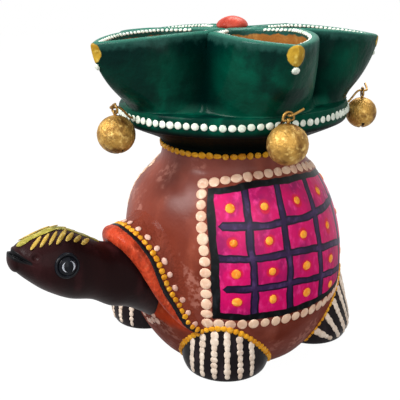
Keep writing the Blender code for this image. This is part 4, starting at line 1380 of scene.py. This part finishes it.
footSizes = {"depth": 0.0230, "halfWidth": 0.0240, "widestHeight": 0.0080, "underside": 0.0200,
             "topShare": 0.95, "topLimit": 0.060, "edgeHeight": 0.0006, "edgeShare": 0.97, "heart": 0.6,
             "searchTop": 0.056, "searchSteps": 30, "lowestFacing": 0.001, "facingTurn": 1.0,
             "facingStep": 0.0006, "segments": 96, "levels": 60}
feet = {"foot_front_left": {"degrees": 46.5, "reach": 0.0178, "height": 0.0680, "taper": 2.0},
        "foot_front_right": {"degrees": -52.0, "reach": 0.0325, "height": 0.0560, "taper": 1.6},
        "foot_rear_left": {"degrees": 140.0, "reach": 0.0240, "height": 0.0820, "taper": 1.2},
        "foot_rear_right": {"degrees": -137.0, "reach": 0.0235, "height": 0.0820, "taper": 1.2}}
arcSizes = {"start": -110.0, "step": 2.75, "marks": 81, "lowest": 0.003, "lift": 0.0004}
# Number of stripes, the turn of the first and the last, and how far each slants.
footStripes = {"foot_front_left": (6, -41.0, 41.0, 0.0), "foot_front_right": (7, -40.0, 86.0, 0.0),
               "foot_rear_left": (9, -104.0, 20.0, 10.0), "foot_rear_right": (9, 104.0, -20.0, -10.0)}
stripeSizes = {"lowest": 0.010, "topGap": 0.0038, "end": 0.0042, "marks": 6, "steps": 36, "thick": 1.15,
               "thin": 0.85, "seed": 81}
arcRow = {"spacing": 0.0031, "radius": 0.0017, "rise": 0.0009, "irregular": 0.15, "seed": 71}
stripeRow = {"spacing": 0.0030, "radius": 0.00168, "rise": 0.0006, "stretch": 1.4, "irregular": 0.22}
blackPaint = glazedPaint("blackPaint", ((26, 19, 21), (14, 10, 12), (48, 38, 42)), size=160.0,
                         roughness=0.40, coat=0.05, coatRoughness=0.16)


def footPoint(node, turn, height):
    s, foot = footSizes, feet[node]
    if height < s["widestHeight"]:
        share = math.sqrt(1.0 - ((s["widestHeight"] - height) / s["underside"]) ** 2)
    else:
        share = 1.0 - min(1.0, (height - s["widestHeight"]) / foot["height"]) ** foot["taper"]
    a = math.radians(turn)
    middle = potSizes["baseRadius"] + foot["reach"] - s["depth"]
    return spoke(foot["degrees"]) @ Vector((middle + s["depth"] * share * math.cos(a),
                                            s["halfWidth"] * share * math.sin(a), height))


def footSurface(node, turn, height):
    s = footSizes
    place = footPoint(node, turn, height)
    facing = facingOf(lambda u, v: footPoint(node, u, v), turn, max(s["lowestFacing"], height),
                      s["facingTurn"], s["facingStep"])
    heart = spoke(feet[node]["degrees"]) @ Vector((potSizes["baseRadius"] * s["heart"], 0.0, height))
    return place, towards(facing, place - heart)


def footTop(node, turn):
    # Height at which a line up the foot runs into the belly, or 0 where the belly covers it.
    def outside(height):
        place = footPoint(node, turn, height)
        return math.hypot(place.x, place.y) - potRadius(height)
    if outside(0.0) < 0.0:
        return 0.0
    low, high = 0.0, footSizes["searchTop"]
    for _ in range(footSizes["searchSteps"]):
        middle = (low + high) / 2
        if outside(middle) > 0.0:
            low = middle
        else:
            high = middle
    return low


def buildFoot(node, label):
    s = footSizes
    turns = evenDegrees(s["segments"])
    top = min(s["topShare"] * feet[node]["height"], s["topLimit"])
    heights = [0.0] + [s["edgeHeight"] + top * i / s["levels"] for i in range(s["levels"] + 1)]
    rings = [[footPoint(node, a, z) for a in turns] for z in heights]
    middle = sum(rings[0], Vector()) / len(rings[0])
    rings[0] = [middle + (p - middle) * s["edgeShare"] for p in rings[0]]
    settle(addPiece("foot" + label, *skinRings(rings), blackPaint), "lamp", "black_clay", node)


def paintFoot(node, label):
    a, s = arcSizes, stripeSizes
    arc = []
    for i in range(a["marks"]):
        turn = a["start"] + a["step"] * i
        height = footTop(node, turn)
        if height < a["lowest"]:
            continue
        place, facing = footSurface(node, turn, height)
        belly = potSurface(feet[node]["degrees"], height)[1]
        arc.append((place + facing * a["lift"], (facing + belly).normalized()))
    paintRow("footArc" + label, pathAlong(arc), amberPaint, "black_clay", **arcRow)
    count, first, last, slant = footStripes[node]
    for k in range(count):
        turn = mixValue(first, last, k / (count - 1))
        height = footTop(node, turn - slant)
        if height < s["lowest"]:
            continue
        marks = []
        for i in range(s["marks"] + 1):
            t = i / s["marks"]
            marks.append((turn + mixValue(-slant, slant, t), mixValue(height - s["topGap"], s["end"], t)))
        path = pathOn(lambda *mark: footSurface(node, *mark), marks, s["steps"])
        stripe = [(place, facing, ahead, mixValue(s["thick"], s["thin"], i / s["steps"]))
                  for i, (place, facing, ahead, _) in enumerate(path)]
        paintRow("footStripe" + label + numbered(k), stripe, stripePaint, "black_clay", seed=s["seed"] + k,
                 **stripeRow)


for footNode in feet:
    footLabel = "".join(word.capitalize() for word in footNode.split("_")[1:])
    buildFoot(footNode, footLabel)
    paintFoot(footNode, footLabel)
print("stage: feet")


# Tail

tailSizes = {"reach": 0.0110, "radius": 0.0065, "tipRadius": 0.0016, "rootHeight": 0.0200,
             "tipHeight": 0.0100, "rootDepth": 0.0120, "segments": 48, "steps": 40, "capRings": 8,
             "capEnd": 8.4}


def buildTail():
    s = tailSizes
    root = potRadius(s["rootHeight"]) - s["rootDepth"]
    tip = potSizes["radius"] + s["reach"] - s["tipRadius"]
    rings = []
    for i in range(s["steps"] + s["capRings"] + 1):
        t = min(1.0, i / s["steps"])
        cap = math.pi / 2 * max(0, i - s["steps"]) / s["capEnd"]
        radius = mixValue(s["radius"], s["tipRadius"], t * t) * math.cos(cap)
        y = mixValue(root, tip, t) + s["tipRadius"] * math.sin(cap)
        z = mixValue(s["rootHeight"], s["tipHeight"], easeStep(t))
        turns = evenTurns(s["segments"])
        rings.append([Vector((radius * math.cos(a), y, z + radius * math.sin(a))) for a in turns])
    settle(addPiece("tail", *skinRings(rings), maroonPaint), "lamp", "maroon_clay", "tail")


buildTail()


# Bells and wires

bellSizes = {"radius": 0.00945, "rearRadius": 0.00830, "rearLimit": -0.5, "sheet": 0.0009,
             "slotWidth": 0.0016, "slotHalfLength": 0.0068, "lugRise": 0.0014, "plateGap": 0.0003,
             "topDrop": 0.0010, "dents": 0.00016, "broadDents": 0.6, "broadSize": 9.0, "fineDents": 0.7,
             "fineSize": 23.0, "dentShift": (5.0, 1.0, 2.0), "pellet": 0.0020, "pelletGap": 0.0003,
             "insideSides": 8, "poleGap": 0.15, "segments": 96, "rings": 56}
lugSizes = {"radius": 0.00086, "thick": 0.22, "stem": 0.85, "stemPower": 3, "halfWidth": 0.00080,
            "steps": 40, "points": 16}
wireSizes = {"radius": 0.00055, "round": 5, "bailWidth": 0.0050, "bailHeight": 0.0036, "bailSteps": 6,
             "archSteps": 8, "gap": 0.0003, "hangerDepth": 0.0090, "holeDrop": 0.0034, "seatHalf": 0.0015,
             "tail": 0.0060, "tailRise": 0.0028, "riseSteps": 5, "hangerSteps": 90}
barHeight = plateSizes["top"] - bellSizes["topDrop"] + bellSizes["lugRise"]
seatHeight = barHeight + wireSizes["bailHeight"] - 2 * wireSizes["radius"] - wireSizes["gap"]
metalFinish = {"size": 420.0, "streak": 1.0, "coat": 0.0, "specular": 0.14, "metallic": 0.65}
goldBrass = glazedPaint("goldBrass", ((174, 134, 66), (92, 58, 26), (226, 192, 116)), roughness=0.50,
                        relief=0.0004, reliefSize=900.0, **metalFinish)
wireBrass = glazedPaint("wireBrass", ((146, 110, 54), (84, 56, 28), (190, 154, 88)), roughness=0.38,
                        relief=0.0001, reliefSize=600.0, **metalFinish)
pelletSteel = glazedPaint("pelletSteel", ((172, 174, 178), (126, 128, 132), (208, 210, 214)), roughness=0.35,
                          relief=0.0001, reliefSize=500.0, **metalFinish)


def bellRadius(number):
    rear = math.cos(math.radians(cupDegrees(number))) < bellSizes["rearLimit"]
    return bellSizes["rearRadius"] if rear else bellSizes["radius"]


def ballRings(radius, dents, shift):
    s = bellSizes
    rings = []
    for k in range(s["rings"] + 1):
        lat = math.pi * (k + s["poleGap"]) / (s["rings"] + 2 * s["poleGap"])
        ring = []
        for a in evenTurns(s["segments"]):
            out = Vector((math.sin(lat) * math.cos(a), math.sin(lat) * math.sin(a), math.cos(lat)))
            rough = s["broadDents"] * noise.noise(out * s["broadSize"] + shift)
            rough += s["fineDents"] * noise.noise(out * s["fineSize"] + shift)
            ring.append(out * (radius + dents * rough))
        rings.append(ring)
    return rings


def smoothWire(name, points, closed, steps):
    # Steps are counted over the whole of an open wire, and from point to point of a closed one.
    data = bpy.data.curves.new(name, "CURVE")
    data.dimensions = "3D"
    data.bevel_depth = wireSizes["radius"]
    data.bevel_resolution = wireSizes["round"]
    data.use_fill_caps = not closed
    points = [tuple(p) for p in points]
    if closed:
        rows = [points[-1], *points, points[0], points[1]]
        spans = len(rows) - 1
        track = curveThrough(rows, steps * spans)[steps:steps * (spans - 1)]
    else:
        track = curveThrough(points, steps)
    spline = data.splines.new("POLY")
    spline.points.add(len(track) - 1)
    for place, point in zip(spline.points, track):
        place.co = (*point, 1.0)
    spline.use_cyclic_u = closed
    data.materials.append(wireBrass)
    plain = bake(linkNew(name, data))
    plain.data.shade_smooth()
    return plain


def buildHanger(label, turn, hang):
    s = wireSizes
    hole = plateSizes["top"] - s["holeDrop"]
    start, end = hang - s["seatHalf"], hang + s["seatHalf"]
    leave = plateSizes["radius"] + s["radius"]
    points = [(plateSizes["radius"] - s["hangerDepth"], 0.0, hole)]
    for i in range(s["riseSteps"] + 1):
        t = i / s["riseSteps"]
        points.append((mixValue(leave, start, t), 0.0, mixValue(hole, seatHeight, easeStep(t))))
    bend = 2 * s["radius"]
    points += [(end, 0.0, seatHeight), (end + bend, bend, seatHeight + s["radius"]),
               (end + bend, s["tail"], seatHeight + s["tailRise"])]
    item = smoothWire("hangerWire" + label, [turn @ Vector(p) for p in points], False, s["hangerSteps"])
    settle(item, "lamp", "gold_brass", "hanger_" + label)


def buildBail(label, bar):
    s = wireSizes
    half = s["bailWidth"] / 2
    spring = s["bailHeight"] - half
    points = [(0.0, -half + s["radius"], 0.0), (0.0, 0.0, 0.0), (0.0, half - s["radius"], 0.0),
              (0.0, half, s["radius"])]
    for i in range(s["archSteps"] + 1):
        a = math.pi * i / s["archSteps"]
        points.append((0.0, half * math.cos(a), spring + half * math.sin(a)))
    points.append((0.0, -half, s["radius"]))
    item = smoothWire("bailWire" + label, [bar @ Vector(p) for p in points], True, s["bailSteps"])
    settle(item, "bail_" + label, "gold_brass", "bail_" + label)


def buildShell(label, place, radius, shift):
    s = bellSizes
    ball = addPiece("bellShell" + label, *skinRings(ballRings(radius - s["dents"], s["dents"], shift)),
                    goldBrass)
    hollow = addPiece("bellHollow", *skinRings(ballRings(radius - s["sheet"], 0.0, shift)), goldBrass)
    subtract(ball, hollow)
    slot = bmesh.new()
    bmesh.ops.create_cube(slot, size=1.0)
    slot.transform(Matrix.Diagonal((s["slotWidth"], 2 * s["slotHalfLength"], radius, 1.0)))
    slot.transform(Matrix.Translation((0.0, 0.0, -radius)))
    subtract(ball, fromShape("bellSlot", slot))
    ball.data.transform(place)
    settle(ball, "bell_" + label, "gold_brass", "bell_shell_" + label)


def buildLug(label, bar):
    s = lugSizes
    rings = []
    for a in evenTurns(s["steps"]):
        centre = Vector((s["radius"] * math.cos(a), 0.0, s["radius"] * math.sin(a)))
        stem = s["stem"] * max(0.0, -math.sin(a)) ** s["stemPower"]
        ring = []
        for b in evenTurns(s["points"]):
            thick = s["thick"] * math.cos(b) + stem * max(0.0, math.cos(b))
            ring.append(bar @ (centre * (1.0 + thick) + Vector((0.0, s["halfWidth"] * math.sin(b), 0.0))))
        rings.append(ring)
    lug = addPiece("bellLug" + label, *skinRings(rings + rings[:1], False), goldBrass)
    settle(lug, "bell_" + label, "gold_brass")


def buildBell(number):
    s = bellSizes
    label = numbered(number)
    turn = spoke(cupDegrees(number))
    radius = bellRadius(number)
    hang = plateSizes["radius"] + radius + s["plateGap"]
    bar = turn @ Matrix.Translation((hang, 0.0, barHeight))
    place = turn @ Matrix.Translation((hang, 0.0, barHeight - s["lugRise"] - radius))
    step, across, up = s["dentShift"]
    shift = Vector((number * step, across, up))
    buildHanger(label, turn, hang)
    buildBail(label, bar)
    buildShell(label, place, radius, shift)
    buildLug(label, bar)
    inside = (radius - s["sheet"]) * math.cos(math.pi / s["insideSides"])
    pellet = addPiece("bellPellet" + label, *skinRings(ballRings(s["pellet"], 0.0, shift)), pelletSteel)
    down = Matrix.Translation((0.0, 0.0, -(inside - s["pellet"] - s["pelletGap"])))
    pellet.data.transform(place @ down)
    settle(pellet, "pellet_" + label, "steel_pellet", "bell_pellet_" + label)


for bellNumber in range(cupSizes["count"]):
    buildBell(bellNumber)
print("stage: bells")


# Studio

studio = {"floorSize": 6.0, "floorDrop": 0.0002, "floorColour": (0.22, 0.22, 0.22, 1.0),
          "floorRoughness": 0.9, "world": 0.20, "shadow": 0.20, "glow": 1.225, "white": (1.0, 1.0, 1.0, 1.0)}
# Place, what it aims at, size and power of each lamp.
lamps = {"keyLamp": ((-0.18, -0.80, 0.80), (0.0, 0.0, 0.09), (0.5, 0.5), 15.0),
         "fillLamp": ((0.85, -0.35, 0.55), (0.0, 0.0, 0.09), (1.0, 1.0), 7.0),
         "topLamp": ((-0.25, 0.45, 0.9), (0.0, 0.0, 0.12), (0.6, 0.45), 10.0)}
# The camera's angles are in degrees, and its focal length is in pixels of a picture this wide.
cameraSizes = {"turn": 51.98, "yaw": -3.19, "pitch": 18.63, "roll": -1.05, "focal": 610.95, "picture": 400.0,
               "place": (0.26059, -0.20377, 0.19105), "sensor": 36.0, "near": 0.01, "far": 20.0}


def seenDirectly(tree):
    # 1 for rays from the camera, and for those that metal or glass sends on.
    path = addNode(tree, "ShaderNodeLightPath").outputs
    sent = calc(tree, "MAXIMUM", path["Is Glossy Ray"], path["Is Transmission Ray"])
    return calc(tree, "MAXIMUM", path["Is Camera Ray"], sent)


def buildStudio():
    half, level = studio["floorSize"] / 2, -studio["floorDrop"]
    material = bpy.data.materials.new("studioFloor")
    material.use_nodes = True
    tree = material.node_tree
    shader = tree.nodes["Principled BSDF"]
    shader.inputs["Base Color"].default_value = studio["floorColour"]
    shader.inputs["Roughness"].default_value = studio["floorRoughness"]
    glow = addNode(tree, "ShaderNodeEmission", {"Color": studio["white"], "Strength": studio["glow"]})
    seen = times(tree, seenDirectly(tree), 1.0 - studio["shadow"])
    mix = addNode(tree, "ShaderNodeMixShader", {0: seen, 1: shader.outputs[0], 2: glow.outputs[0]})
    tree.links.new(mix.outputs[0], tree.nodes["Material Output"].inputs["Surface"])
    corners = [(-half, -half, level), (half, -half, level), (half, half, level), (-half, half, level)]
    addPiece("studioFloor", corners, [(0, 1, 2, 3)], material)
    world = bpy.data.worlds.new("studioWorld")
    bpy.context.scene.world = world
    world.use_nodes = True
    sky = world.node_tree
    background = sky.nodes["Background"].inputs
    background["Color"].default_value = studio["white"]
    strength = calc(sky, "MULTIPLY_ADD", seenDirectly(sky), 1.0 - studio["world"], studio["world"])
    sky.links.new(strength, background["Strength"])


def addLamp(name, place, aim, size, power):
    data = bpy.data.lights.new(name, "AREA")
    data.shape = "RECTANGLE"
    data.size, data.size_y = size
    data.energy = power
    item = linkNew(name, data)
    item.location = place
    item.rotation_euler = (Vector(aim) - Vector(place)).to_track_quat("-Z", "Y").to_euler()


def turned(first, second, degrees):
    # Two directions turned in their own plane, the first towards the second.
    a = math.radians(degrees)
    return first * math.cos(a) + second * math.sin(a), second * math.cos(a) - first * math.sin(a)


def addCamera():
    s = cameraSizes
    ahead, right = turned(Vector((0.0, 1.0, 0.0)), Vector((1.0, 0.0, 0.0)), s["yaw"] - s["turn"])
    ahead, up = turned(ahead, upward, -s["pitch"])
    right, up = turned(right, up, s["roll"])
    data = bpy.data.cameras.new("camera")
    data.sensor_width = s["sensor"]
    data.lens = s["sensor"] * s["focal"] / s["picture"]
    data.clip_start, data.clip_end = s["near"], s["far"]
    item = linkNew("camera", data)
    item.matrix_world = Matrix.Translation(s["place"]) @ Matrix((right, up, -ahead)).transposed().to_4x4()
    bpy.context.scene.camera = item


buildStudio()
for lampName, lampSizes in lamps.items():
    addLamp(lampName, *lampSizes)
addCamera()
bpy.context.scene.view_settings.view_transform = "Standard"
print("stage: studio")
